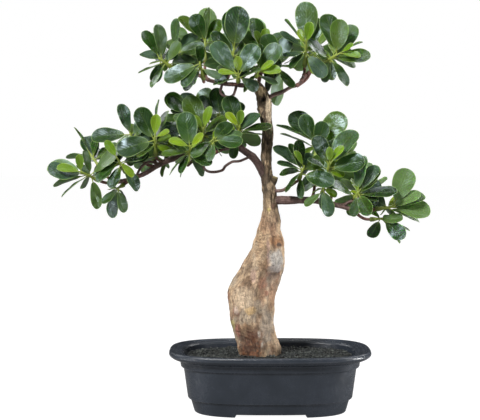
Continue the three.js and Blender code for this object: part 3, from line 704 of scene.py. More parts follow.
class Effects:
    """The effects that more than one finish uses, each a node group built once."""

    def build(self) -> None:
        """Makes every group."""
        for make in (self.mottle, self.streaks, self.cracks, self.veins):
            make()

    def mottle(self) -> None:
        """Soft blotches: noise, stepped smoothly from Low to High."""
        group = Group("mottle", Vector=None, Scale=200.0, Low=0.35, High=0.65, Detail=4.0)
        vector, scale, low, high, detail = group.given
        group.give(Mask=group.step(group.noise(vector, scale, detail, 0.6), low, high))

    def streaks(self) -> None:
        """Long fibres: noise in the surface laid straight, drawn out along its third axis."""
        group = Group("streaks", Flow=None, Scale=0.5, Stretch=6.0)
        flow, scale, stretch = group.given
        x, y, z = group.split(flow)
        drawn = group.get("CombineXYZ", {"X": x, "Y": y, "Z": group.math("DIVIDE", z, stretch)})
        group.give(Mask=group.step(group.noise(drawn, scale, 3.0, 0.65), 0.3, 0.7))

    def cracks(self) -> None:
        """Thin winding lines where noise passes through its middle value."""
        group = Group("cracks", Vector=None, Scale=170.0, Width=0.035)
        vector, scale, width = group.given
        group.give(Mask=1.0 - group.step(abs(group.noise(vector, scale, 3.0, 0.6) - 0.5), 0.0, width))

    def veins(self) -> None:
        """A leaf's midrib, its side veins and its rim.

        The midrib is where |X| is under a width that narrows with Y; the side veins are where the
        fraction of Pairs (Y - Slant |X|) is near a half.
        """
        group = Group("veins", Flow=None, Edge=0.0, Pairs=9.0, Slant=0.4, Width=0.07)
        flow, edge, pairs, slant, width = group.given
        x, y, _ = group.split(flow)
        across = abs(x)
        width = width * group.span(y, 1.3, 0.5)
        line = 1.0 - group.step(abs(group.math("FRACT", pairs * (y - slant * across)) - 0.5), 0.02, 0.2)
        group.give(
            Midrib=1.0 - group.step(across, width * 0.3, width),
            Veins=line * (1.0 - group.step(across, 0.55, 0.95)), Rim=group.step(edge, 0.72, 0.95),
        )


class Coat(Tree):
    """A material in the making, with what a finish reads from its mesh."""

    def __init__(self, name: str) -> None:
        """Starts a material by name."""
        self.material = bpy.data.materials.new(name)
        super().__init__(self.material)

    def tone(self, output: str = "Color") -> Signal:
        """The tone that the mesh carries."""
        return self.get("Attribute", {}, output, attribute_name="tone")

    def flow(self) -> Signal:
        """The flow that the mesh carries."""
        return self.get("Attribute", {}, "Vector", attribute_name="flow")

    def dimmed(self, colour: Signal, by: Signal) -> Signal:
        """A colour times a brightness."""
        return self.mix(1.0, colour, by, "MULTIPLY")

    def effect(self, group: str, mask: str = "Mask", **inputs: Value) -> Signal:
        """One mask of a shared effect."""
        return self.get("Group", inputs, mask, node_tree=bpy.data.node_groups[group])

    def place(self) -> Signal:
        """The place on the object."""
        return self.get("TexCoord", {}, "Object")

    def mottle(self, scale: float, low: float, high: float, detail: float = 4.0) -> Signal:
        """Blotches fixed to the object."""
        inputs = {"Vector": self.place(), "Scale": scale, "Low": low, "High": high, "Detail": detail}
        return self.effect("mottle", **inputs)

    def dress(self, colour: Signal, rough: Signal, height: Signal, depth: float, **more: Value) -> Material:
        """Ends the material with a bump and its shader.

        Args:
            colour, rough: what the shader is given.
            height, depth: what the bump reads, and how deep it goes in millimetres.
            more: further inputs of the shader, with _ for each space.

        Returns:
            The material.
        """
        bump = self.get("Bump", {"Height": height, "Distance": depth * MM, "Strength": 1.0})
        inputs = {"Base Color": colour, "Roughness": rough, "Normal": bump}
        inputs |= {name.replace("_", " "): value for name, value in more.items()}
        self.add("ShaderNodeOutputMaterial", {"Surface": self.get("BsdfPrincipled", inputs)})
        return self.material


@dataclass(frozen=True)
class PlasticFinish:
    """Satin moulded plastic: faintly clouded, with a fine tooth, and edges lightened as wear and as a painted
    highlight.
    """

    body: Colour = paint(38, 43, 50)
    cloud: Colour = paint(46, 51, 59)
    # Lighter colour for fine specks and for the edges, where it is wear and a painted highlight
    wear_and_highlight: Colour = paint(84, 88, 95)

    def make(self) -> Material:
        """Builds the planter's material, which reads how near an edge is from the red tone and lightens the
        edges there as wear and as a painted highlight.

        Returns:
            The material.
        """
        coat = Coat("satin_plastic")
        clouds, tooth = coat.mottle(28.0, 0.3, 0.7), coat.mottle(1400.0, 0.3, 0.7)
        edge, *_ = coat.split(coat.tone(), "Color")
        colour = coat.mix(clouds, self.body, self.cloud)
        colour = coat.mix(coat.mottle(620.0, 0.66, 0.74) * 0.25, colour, self.wear_and_highlight)
        # Painted highlight and wear: the edge mask in the red tone lightens the rounded edges
        colour = coat.mix(edge * coat.span(clouds, 0.1, 0.4), colour, self.wear_and_highlight)
        rough = coat.span(clouds, 0.2, 0.26) + tooth * 0.05
        return coat.dress(colour, rough, tooth, 0.08, Specular_IOR_Level=0.45)


@dataclass(frozen=True)
class GravelFinish:
    """Dark mineral granules with dusty faces."""

    dust: Colour = paint(120, 124, 118)

    def make(self) -> Material:
        """Builds the medium's material; its colour comes from the tone.

        Returns:
            The material.
        """
        coat = Coat("dark_gravel")
        fine, dusty = coat.mottle(1100.0, 0.25, 0.75), coat.mottle(420.0, 0.55, 0.72)
        colour = coat.dimmed(coat.tone(), coat.span(fine, 0.55, 1.35))
        colour = coat.mix(dusty * 0.22, colour, self.dust)
        return coat.dress(colour, coat.span(dusty, 0.62, 0.95), fine, 0.35)


@dataclass(frozen=True)
class BarkFinish:
    """Rough skin whose colour comes from the tone, with fibres, painted shade in its pits and cracks, and
    painted highlights on its crests.
    """

    name: str
    # Colour of the painted highlights on the raised fibres
    crest: Colour
    # Colour of the painted shade in the pits
    pit: Colour
    fibre_scale: float
    depth: float
    crest_highlight_share: float
    crack_scale: float = 170.0
    roughness: float = 0.6

    def make(self) -> Material:
        """Builds the material of the trunk or of the branches.

        Returns:
            The material.
        """
        coat = Coat(self.name)
        coarse, fine = coat.mottle(210.0, 0.3, 0.7), coat.mottle(760.0, 0.3, 0.7)
        pits = coat.mottle(560.0, 0.58, 0.7)
        fibres = coat.effect("streaks", Flow=coat.flow(), Scale=self.fibre_scale, Stretch=5.0)
        cracks = coat.effect("cracks", Vector=coat.place(), Scale=self.crack_scale)
        # Painted shade: the cracks darken the colour
        shade = coat.span(fine, 0.74, 1.22) * coat.span(fibres, 0.84, 1.12) * coat.span(cracks, 1.0, 0.74)
        colour = coat.dimmed(coat.tone(), shade)
        # Painted highlight: the crest colour on the raised fibres
        colour = coat.mix(coarse * fibres * self.crest_highlight_share, colour, self.crest)
        # Painted shade: the pit colour in the pits
        colour = coat.mix(pits * 0.6, colour, self.pit)
        height = fine * 0.35 + fibres * 0.5 - pits * 0.5 - cracks * 0.6
        return coat.dress(
            colour, coat.span(coarse, self.roughness, self.roughness + 0.24), height, self.depth
        )


@dataclass(frozen=True)
class LeafFinish:
    """A moulded leaf's face, veins, rim and underside."""

    name: str
    dark: Colour
    light: Colour
    warm: Colour
    vein: Colour
    under: Colour
    rim: Colour
    cool: Colour
    roughness: float
    vein_share: float
    specular: float
    gloss: Colour = paint(222, 242, 255)

    def make(self) -> Material:
        """Builds the material.

        The tone's red is how light the leaf is, its green how warm, its blue 1 on the underside, and
        its alpha 1 at the rim. The flow's Z is the leaf's own chance times ten, and the leaves with
        a high one are cooler.

        Returns:
            The material.
        """
        coat = Coat(self.name)
        flow = coat.flow()
        lightness, warmth, below = coat.split(coat.tone(), "Color")
        veins = {
            kind: coat.effect("veins", kind, Flow=flow, Edge=coat.tone("Alpha"))
            for kind in ("Midrib", "Veins", "Rim")
        }
        x, y, z = coat.split(flow)
        laid = coat.get("CombineXYZ", {"X": x * 13.0, "Y": z * 40.0, "Z": y * 40.0})
        fibres = coat.effect("streaks", Flow=laid, Scale=0.8, Stretch=9.0)
        clouds, swells = coat.mottle(48.0, 0.2, 0.8), coat.mottle(75.0, 0.0, 1.0, 0.6)
        colour = coat.mix(lightness * 0.7 + clouds * 0.3, self.dark, self.light)
        colour = coat.mix(warmth * 0.8, colour, self.warm)
        colour = coat.mix(coat.step(z, 6.6, 8.4) * coat.span(clouds, 0.1, 0.55), colour, self.cool)
        colour = coat.dimmed(colour, coat.span(fibres, 0.82, 1.14))
        colour = coat.mix((1.0 - coat.step(y, 0.0, 0.4)) * 0.35, colour, self.vein)
        colour = coat.mix(below * 0.85, colour, self.under)
        lines = coat.math("MAXIMUM", veins["Midrib"], veins["Veins"] * 0.5) * self.vein_share
        colour = coat.mix(lines, colour, self.vein)
        colour = coat.mix(veins["Rim"] * 0.75, colour, self.rim)
        rough = coat.span(clouds, self.roughness, self.roughness + 0.08) + below * 0.15
        return coat.dress(
            colour, rough, fibres * 0.3 - lines * 1.6 + swells * 6.5, 0.28,
            Specular_IOR_Level=self.specular, Specular_Tint=self.gloss, Subsurface_Weight=0.25,
            Subsurface_Radius=(0.6, 1.0, 0.15), Subsurface_Scale=2.0 * MM,
        )


@dataclass(frozen=True)
class StemFinish:
    """The yellow-green sleeves, stems and leaf stalks."""

    dark: Colour = paint(84, 98, 38)
    light: Colour = paint(150, 166, 66)
    scar: Colour = paint(92, 70, 44)

    def make(self) -> Material:
        """Builds the material; the tone's red is how light it is and its green how scarred.

        Returns:
            The material.
        """
        coat = Coat("green_stem")
        lightness, scarred, _ = coat.split(coat.tone(), "Color")
        spots = coat.mottle(520.0, 0.4, 0.7)
        fibres = coat.effect("streaks", Flow=coat.flow(), Scale=1.1)
        colour = coat.mix(lightness * coat.span(fibres, 0.6, 1.1), self.dark, self.light)
        colour = coat.mix(scarred * spots, colour, self.scar)
        return coat.dress(colour, coat.span(spots, 0.42, 0.56), fibres, 0.2)


# Screen colours of the leaves: dark, light, warm, vein, under, rim and cool
MATURE = (
    (18, 35, 6), (41, 70, 22), (88, 112, 14), (104, 130, 62), (96, 122, 66), (134, 156, 98), (82, 104, 92)
)
YOUNG = (
    (72, 106, 2), (124, 152, 4), (138, 154, 8), (150, 176, 70), (90, 120, 24), (176, 196, 104), (96, 132, 8)
)
FINISHES = {
    "pot": PlasticFinish(),
    "soil": GravelFinish(),
    "trunk": BarkFinish(
        "trunk_bark", crest=paint(204, 180, 146), pit=paint(62, 44, 32), fibre_scale=0.5, depth=0.8,
        crest_highlight_share=0.2,
    ),
    "branch": BarkFinish(
        "branch_bark", crest=paint(158, 130, 122), pit=paint(34, 24, 22), fibre_scale=0.9, depth=0.6,
        crest_highlight_share=0.6, crack_scale=260.0, roughness=0.42,
    ),
    "leaf": LeafFinish(
        "mature_leaf", *(paint(*row) for row in MATURE), roughness=0.24, vein_share=0.34, specular=0.56
    ),
    "young_leaf": LeafFinish(
        "young_leaf", *(paint(*row) for row in YOUNG), roughness=0.28, vein_share=0.5, specular=0.46
    ),
    "stem": StemFinish(),
}


@dataclass
class Planter:
    """The moulded oval pot: a profile carried round a rounded oblong, with a notch under it."""

    depth_ratio: float = 0.705
    roundness: float = 3.0
    foot_height: float = 3.5
    notch_half: float = 40.0
    notch_slant: float = 2.5
    lifted_below: float = 6.5
    columns: int = 88
    corner_steps: int = 6
    # Corners of the wall, up its outer side and down its inner: half length, height and rounding
    profile: tuple[Point, ...] = (
        (91, 0, 0.9), (95.5, 15.5, 1.2), (98.7, 16.5, 1), (103.7, 53, 1.6), (107, 54, 0.8),
        (108, 61.5, 1.2), (117, 64, 2.6), (121, 67.5, 1.1), (121.2, 73.2, 4.5), (115.6, 72.8, 0.9),
        (112.4, 71, 1.4), (106.4, 71.2, 1.2), (103.4, 68.6, 1), (100.3, 54, 1), (92.1, 16.5, 1),
        (87.6, 6.5, 1.5),
    )

    def power(self, x: Array, y: Array) -> Array:
        """|x|^n + |y / ratio|^n, which is one on the rounded oblong of half length one."""
        return np.abs(x) ** self.roundness + np.abs(y / self.depth_ratio) ** self.roundness

    def outline(self, angle: Array) -> Array:
        """The rounded oblong's points in the directions of angles in radians, (..., 2)."""
        reach = self.power(np.cos(angle), np.sin(angle)) ** (-1 / self.roundness)
        return np.stack([reach * np.cos(angle), reach * np.sin(angle)], axis=-1)

    def angles(self) -> Array:
        """Directions round the pot, even but with a pair at each side of both notches.

        Returns:
            Radians, (n,).
        """
        shares = np.array([self.notch_half, self.notch_half + self.notch_slant]) / self.profile[0][0]
        y = self.depth_ratio * (1 - shares**self.roundness) ** (1 / self.roundness)
        even = np.linspace(0, np.pi, self.columns + 1)
        half = np.sort(np.concatenate([even, np.arctan2(y, shares), np.arctan2(y, -shares)]))
        return np.concatenate([half, -half[-2:0:-1]])

    def rounded(self) -> Array:
        """The profile with each corner cut back and rounded by a quadratic curve.

        Returns:
            Half length, height and how near an edge it is, which the finish lightens as wear and a painted
            highlight, (rows, 3).
        """
        radii, corners = np.array(self.profile)[:, 2], np.array(self.profile)[:, :2]
        inner = [1, 0]
        line = np.vstack([corners[0] - inner, corners, corners[-1] - inner])
        t = np.linspace(0, 1, self.corner_steps)[:, None]
        rows = []
        for before, corner, after, radius in zip(line, corners, line[2:], radii):
            start, end = corner + unit(before - corner) * radius, corner + unit(after - corner) * radius
            bent = (1 - t) ** 2 * start + 2 * t * (1 - t) * corner + t**2 * end
            # The third value is the edge mask for the wear and painted highlight on the edges
            rows.append(np.hstack([bent, np.sin(np.pi * t) * min(1.0, 1.3 / radius)]))
        return np.vstack(rows)

    def surface(self) -> Surface:
        """The whole pot: the wall's rows, lifted over the notch, and ruled sheets for both floors.

        Below a height, z becomes lift + z (1 - lift / height), where lift is the notch's height at
        that column, and the half length follows the wall's slope.

        Returns:
            The closed surface.
        """
        rows, outline = self.rounded(), self.outline(self.angles())
        count, (first, second) = len(outline), self.profile[:2]
        past = self.notch_half + self.notch_slant - np.abs(outline[:, 0] * first[0])
        lift = self.foot_height * np.clip(past / self.notch_slant, 0, 1)
        height = np.repeat(rows[:, 1:2], count, axis=1)
        outer = np.arange(len(rows)) < 2 * self.corner_steps
        low = outer[:, None] & (height < self.lifted_below)
        lifted = lift + height * (1 - lift / self.lifted_below)
        half = rows[:, :1] + np.where(low, (lifted - height) * (second[0] - first[0]) / second[1], 0)
        height = np.where(low, lifted, height)
        points = np.stack([half * outline[:, 0], half * outline[:, 1], height], axis=-1).reshape(-1, 3)
        column, last = np.arange(1, count // 2 - 1), (len(rows) - 1) * count
        floor = np.stack([column, column + 1, count - column - 1, count - column], axis=1)
        ends = np.array([[0, 1, count - 1], [count // 2 - 1, count // 2, count // 2 + 1]])
        tone = np.zeros((len(points), 4))
        # The red tone is the edge mask that the finish lightens as wear and a painted highlight
        tone[:, 0] = np.repeat(rows[:, 2], count)
        quads = np.vstack([ring_quads(len(rows), count), floor[:, ::-1], floor + last])
        return Surface(points, (quads, np.vstack([ends[:, ::-1], ends + last])), points, tone)

    def build(self, shop: Workshop) -> None:
        """Makes the pot."""
        Piece("pot", [(self.surface(), 0)]).make(shop, "pot", 30)


@dataclass
class Medium:
    """The planting medium: a low mound of dark granules."""

    planter: Planter
    level: float = 63.5
    bump: float = 0.78
    dome: float = 3.0
    mouth: float = 103.0
    reach: float = 100.4
    columns: int = 120
    granules: int = 2600
    granule_radius: Row = (0.8, 1.9)
    seed: int = 11
    inside: float = 0.955
    # Half length and height of the filling, up the pot's wall
    walls: tuple[Row, ...] = ((87, 6.9), (91.5, 16.6), (99.7, 54), (100.2, 60.5))
    colours: tuple[Colour, ...] = (
        paint(26, 31, 31), paint(40, 45, 43), paint(18, 21, 22), paint(52, 56, 51), paint(36, 35, 31),
        paint(80, 84, 80),
    )

    def height(self, x: Array, y: Array) -> Array:
        """The mound: a cone that is cut off towards the rim, with two crossed waves on it.

        Args:
            x, y: places in millimetres.

        Returns:
            Heights in millimetres.
        """
        waves = np.sin(x * 0.21 + 1.1) * np.cos(y * 0.26) + 0.6 * np.sin(x * 0.47 - y * 0.39)
        share = np.hypot(x + 12, y * 1.3) / self.mouth
        return self.level + self.dome * np.maximum(0, 1 - share * 1.4) + self.bump * waves

    def body(self) -> Surface:
        """The filling itself, from the pot's floor up to the mound's crest.

        Returns:
            The closed surface.
        """
        outline = self.planter.outline(turns(self.columns))
        rings = [np.column_stack([outline * half, np.full(self.columns, z)]) for half, z in self.walls]
        for share in np.linspace(1, 0.03, 34):
            flat = outline * self.reach * share
            z = self.height(flat[:, 0], flat[:, 1])
            rough = layered(np.column_stack([flat, z]), 4.0, 2.0)
            rings.append(np.column_stack([flat, z - 0.5 + 0.7 * rough]))
        rings = np.stack(rings)
        shade = 0.7 + 0.3 * grain(rings, 5.0, 4.0)[..., None]
        return lofted(rings, rings, opaque(shade * np.array(self.colours[0])))

    def stones(self) -> Surface:
        """Loose granules: a small twenty-sided solid with every corner pulled in or out.

        Returns:
            All of them as one surface.
        """
        chance = np.random.default_rng(self.seed)
        corners, faces = icosahedron()
        place = chance.uniform(-1, 1, (self.granules * 2, 2)) * [1, self.planter.depth_ratio]
        place = place[self.planter.power(place[:, 0], place[:, 1]) < self.inside]
        place = place[: self.granules] * self.reach
        count = len(place)
        size = chance.uniform(*self.granule_radius, (count, 1, 1)) * chance.uniform(0.65, 1.15, (count, 1, 3))
        x, y, z = np.moveaxis(corners * chance.uniform(0.78, 1.12, (count, len(corners), 1)) * size, -1, 0)
        turn = chance.uniform(0, 2 * np.pi, count)[:, None]
        cos, sin = np.cos(turn), np.sin(turn)
        points = np.stack([x * cos - y * sin, x * sin + y * cos, z * 0.8], axis=-1)
        lift = self.height(place[:, 0], place[:, 1]) + chance.uniform(-0.5, 0.6, count)
        points = (points + np.column_stack([place, lift])[:, None]).reshape(-1, 3)
        shade = np.array(self.colours)[chance.integers(0, len(self.colours), count)]
        tone = opaque(np.repeat(shade * chance.uniform(0.7, 1.3, (count, 1)), len(corners), axis=0))
        numbered = faces + np.arange(count)[:, None, None] * len(corners)
        return Surface(points, (numbered.reshape(-1, 3),), points, tone)

    def build(self, shop: Workshop) -> None:
        """Makes the filling with its granules."""
        Piece("soil", [(self.body(), 0), (self.stones(), 0)]).make(shop, "soil", 35)


def icosahedron() -> tuple[Array, Array]:
    """A regular solid of twenty triangles, whose corners are each other's nearest neighbours.

    Returns:
        Corners, (12, 3), and corner numbers, (20, 3), facing outwards.
    """
    gold = (1 + 5**0.5) / 2
    signs = [(s, t * gold) for s in (-1, 1) for t in (-1, 1)]
    rows = [(0, s, t) for s, t in signs] + [(s, t, 0) for s, t in signs] + [(t, 0, s) for s, t in signs]
    corners = unit(np.array(rows, float))
    near = np.linalg.norm(corners[:, None] - corners[None], axis=-1)
    side = near[near > 1e-6].min() * 1.01
    faces = []
    for a, b, c in np.ndindex((len(corners),) * 3):
        if a < b < c and max(near[a, b], near[b, c], near[a, c]) < side:
            out = corners[a] @ np.cross(corners[b], corners[c]) > 0
            faces.append((a, b, c) if out else (a, c, b))
    return corners, np.array(faces)


@dataclass(frozen=True)
class Mark:
    """A patch of the trunk's skin: its middle in x and z, and its half sizes."""

    x: float
    z: float
    half_x: float
    half_z: float

    def off(self, places: Array) -> Array:
        """How far places are from its middle, in half sizes along x and z."""
        return (places - [self.x, self.z]) / [self.half_x, self.half_z]


@dataclass(frozen=True)
class Lump(Mark):
    """A raised place, or a pit where its height is negative."""

    height: float
    side: Side = Side.FRONT


@dataclass(frozen=True)
class StainAndPaintedLight(Mark):
    """A patch of another colour, which is given as on a screen: mostly stains, and a few painted shadows,
    shade and highlights.
    """

    colour: tuple[int, int, int]
    strength: float
    side: Side = Side.FRONT


@dataclass(frozen=True)
class Ripple(Mark):
    """Fine ripples: their spacing, their crests' angle and their height."""

    spacing: float
    angle: float
    height: float


@dataclass(frozen=True)
class Furrow:
    """A long dent in the trunk's skin along points (x, z)."""

    points: list[Row]
    depth: float
    width: float
    side: Side = Side.FRONT


def both_sides(kind: type, front: tuple[tuple, ...], back: tuple[tuple, ...]) -> list[Mark | Furrow]:
    """Marks of one kind from their rows."""
    return [kind(*row) for row in front] + [kind(*row, Side.BACK) for row in back]


LUMPS = both_sides(
    Lump,
    (
        (9.6, 198, 5, 5, 2.6), (9.6, 198, 2.3, 2.5, -3.2), (6.5, 179, 8, 12, 1.3),
        (-32, 134, 11, 12, 1.8), (-20, 161, 3.5, 5, 1.3), (-11, 152, 5, 4, 1.4), (-22, 120, 6, 4, 1),
        (-30, 96, 8, 7, 1.2), (-40, 120, 2.5, 6, 0.9), (8, 71, 5, 9, 2.6), (-30, 70, 8, 7, 2.2),
        (-16, 67, 6, 5, 1.6), (-12, 262, 2.5, 3, 2), (-15, 359, 2.4, 3, 1.8), (-3, 319, 2.2, 2.2, -0.9),
        (0, 318, 3, 4, 0.8), (-6, 205, 4, 9, 0.8), (-11, 388, 4, 4, 0.8),
    ),
    (
        (10, 150, 10, 14, 2.2), (-18, 110, 9, 12, 1.8), (0, 190, 6, 8, 1.5), (-12, 75, 8, 8, 2.4),
        (-28, 145, 7, 8, 1.5), (2, 232, 4, 6, 1), (-2, 300, 2.6, 3, 1), (8, 80, 5, 9, 2),
    ),
)

FURROWS = both_sides(
    Furrow,
    (
        ([(-0.5, 205), (-3, 180), (-10, 160), (-15.5, 146), (-16.5, 132)], 1.7, 3),
        ([(-16.5, 132), (-16, 108), (-14.5, 88), (-12, 68)], 0.9, 3),
        ([(-3, 166), (5, 161.5), (14, 166)], 1.7, 1.8), ([(4, 207), (3, 196), (1, 184)], 1, 1.3),
        ([(-38, 106), (-33, 90), (-34, 70)], 1.4, 2), ([(-8, 86), (-4, 75), (1, 64)], 1.6, 1.8),
        ([(3, 92), (5, 77), (5, 64)], 1.2, 1.5), ([(-3, 296), (-4, 326), (-2, 352), (-4, 366)], 0.8, 1.1),
        ([(3, 240), (2, 258), (0, 276)], 0.8, 1.1), ([(-4, 236), (-5, 262), (-8, 290)], 0.6, 1),
    ),
    (
        ([(-2, 212), (-6, 176), (-12, 132), (-8, 92), (-6, 66)], 2.2, 2.6),
        ([(10, 180), (6, 150), (-2, 118)], 1.4, 1.8), ([(-30, 120), (-26, 92), (-28, 68)], 1.5, 2),
        ([(-1, 240), (-2, 280), (-5, 320), (-3, 360)], 0.8, 1.2),
    ),
)

RIPPLES = [
    Ripple(*row) for row in (
        (-14, 192, 10, 26, 3.3, 12, 0.36), (-26, 160, 12, 14, 4.4, -30, 0.42),
        (2, 106, 10, 34, 3.2, 84, 0.26), (-1, 225, 9, 20, 3.4, 70, 0.3), (6, 184, 8, 10, 3, 60, 0.22),
        (-30, 92, 11, 12, 4, 20, 0.3),
    )
]

STAINS_AND_PAINTED_LIGHT = both_sides(
    StainAndPaintedLight,
    (
        (-10.8, 191, 8, 22, (188, 156, 120), 0.6), (-24, 177, 5, 16, (122, 96, 70), 0.6),
        (-2.4, 191, 2.2, 14, (208, 170, 154), 0.7), (7.2, 181, 8.5, 14, (156, 154, 150), 0.85),
        # The patch at z 160 below, under the grey patch, is a painted shadow
        (6, 169.4, 9, 4.5, (146, 138, 134), 0.8), (3.6, 160, 9, 4.5, (98, 82, 74), 0.6),
        (-9, 144, 5, 18, (148, 104, 80), 0.65), (4.2, 199.4, 2.4, 6, (88, 56, 40), 0.7),
        # The dark patch at z 198.2 below, inside the hollow, is painted shade
        (7.4, 201.4, 8.4, 7.6, (136, 92, 54), 0.9), (9.6, 198.2, 2.6, 2.6, (60, 42, 32), 0.9),
        (-20.4, 161, 4, 7, (192, 160, 148), 0.6), (-9.6, 151.4, 7, 7, (160, 106, 80), 0.7),
        (-4.8, 140.6, 3, 4, (150, 92, 68), 0.7), (-32.4, 133.4, 13, 15, (226, 200, 168), 0.8),
        (-40.2, 120, 3, 6, (218, 194, 176), 0.8), (-22.8, 120, 7, 5, (198, 160, 98), 0.6),
        (1.2, 134.6, 4, 12, (188, 150, 114), 0.6), (-3.6, 101, 9, 24, (150, 136, 120), 0.9),
        (6, 141, 8, 16, (152, 114, 88), 0.7), (-7, 222, 6, 13, (156, 118, 88), 0.6),
        (4, 214, 5, 12, (128, 90, 64), 0.6), (-27, 68, 8, 3.4, (170, 112, 70), 0.75),
        (-44.4, 101, 3, 7, (160, 152, 92), 0.7), (-37.8, 93.8, 3.5, 9, (150, 84, 72), 0.75),
        (-30, 97.4, 7, 7, (186, 148, 108), 0.7), (-24, 79, 15, 22, (84, 47, 30), 0.95),
        (-19.2, 67, 5, 3.5, (142, 88, 58), 0.8), (8.4, 71, 4, 10, (160, 134, 106), 0.7),
        (-13.2, 91.4, 1.6, 4, (204, 198, 186), 0.6), (-9.6, 79.4, 1.4, 3, (204, 198, 186), 0.6),
        (-2.4, 245, 3.5, 14, (194, 164, 126), 0.7), (-1.8, 240, 2.6, 2.4, (190, 174, 100), 0.6),
        # The pale streak at z 357 below, on the upper trunk, is a painted highlight
        (6, 227, 4, 8, (114, 78, 54), 0.5), (-1.2, 357, 4, 18, (232, 210, 178), 0.85),
        (-4, 300, 3, 20, (170, 142, 108), 0.4), (-1.8, 334, 4, 4.5, (158, 160, 120), 0.6),
        # The dark patch at z 319 below, in the small pit, is painted shade
        # The pale patch at z 382 below, on top of the bend, is a painted highlight
        (-9.6, 382, 5, 6, (206, 178, 134), 0.8), (-3.1, 319, 2.4, 2.4, (46, 34, 27), 0.8),
        # The dark patch at z 371 below, in the knot hole, is painted shade
        (-8.4, 371, 2.9, 2.9, (34, 23, 18), 0.97),
    ),
    (
        (-6, 120, 10, 30, (150, 136, 118), 0.7), (-28, 150, 9, 12, (200, 172, 136), 0.7),
        (-12, 76, 14, 10, (112, 72, 58), 0.8), (6, 180, 7, 12, (164, 150, 136), 0.7),
        (-2, 350, 4, 14, (186, 160, 126), 0.6),
    ),
)


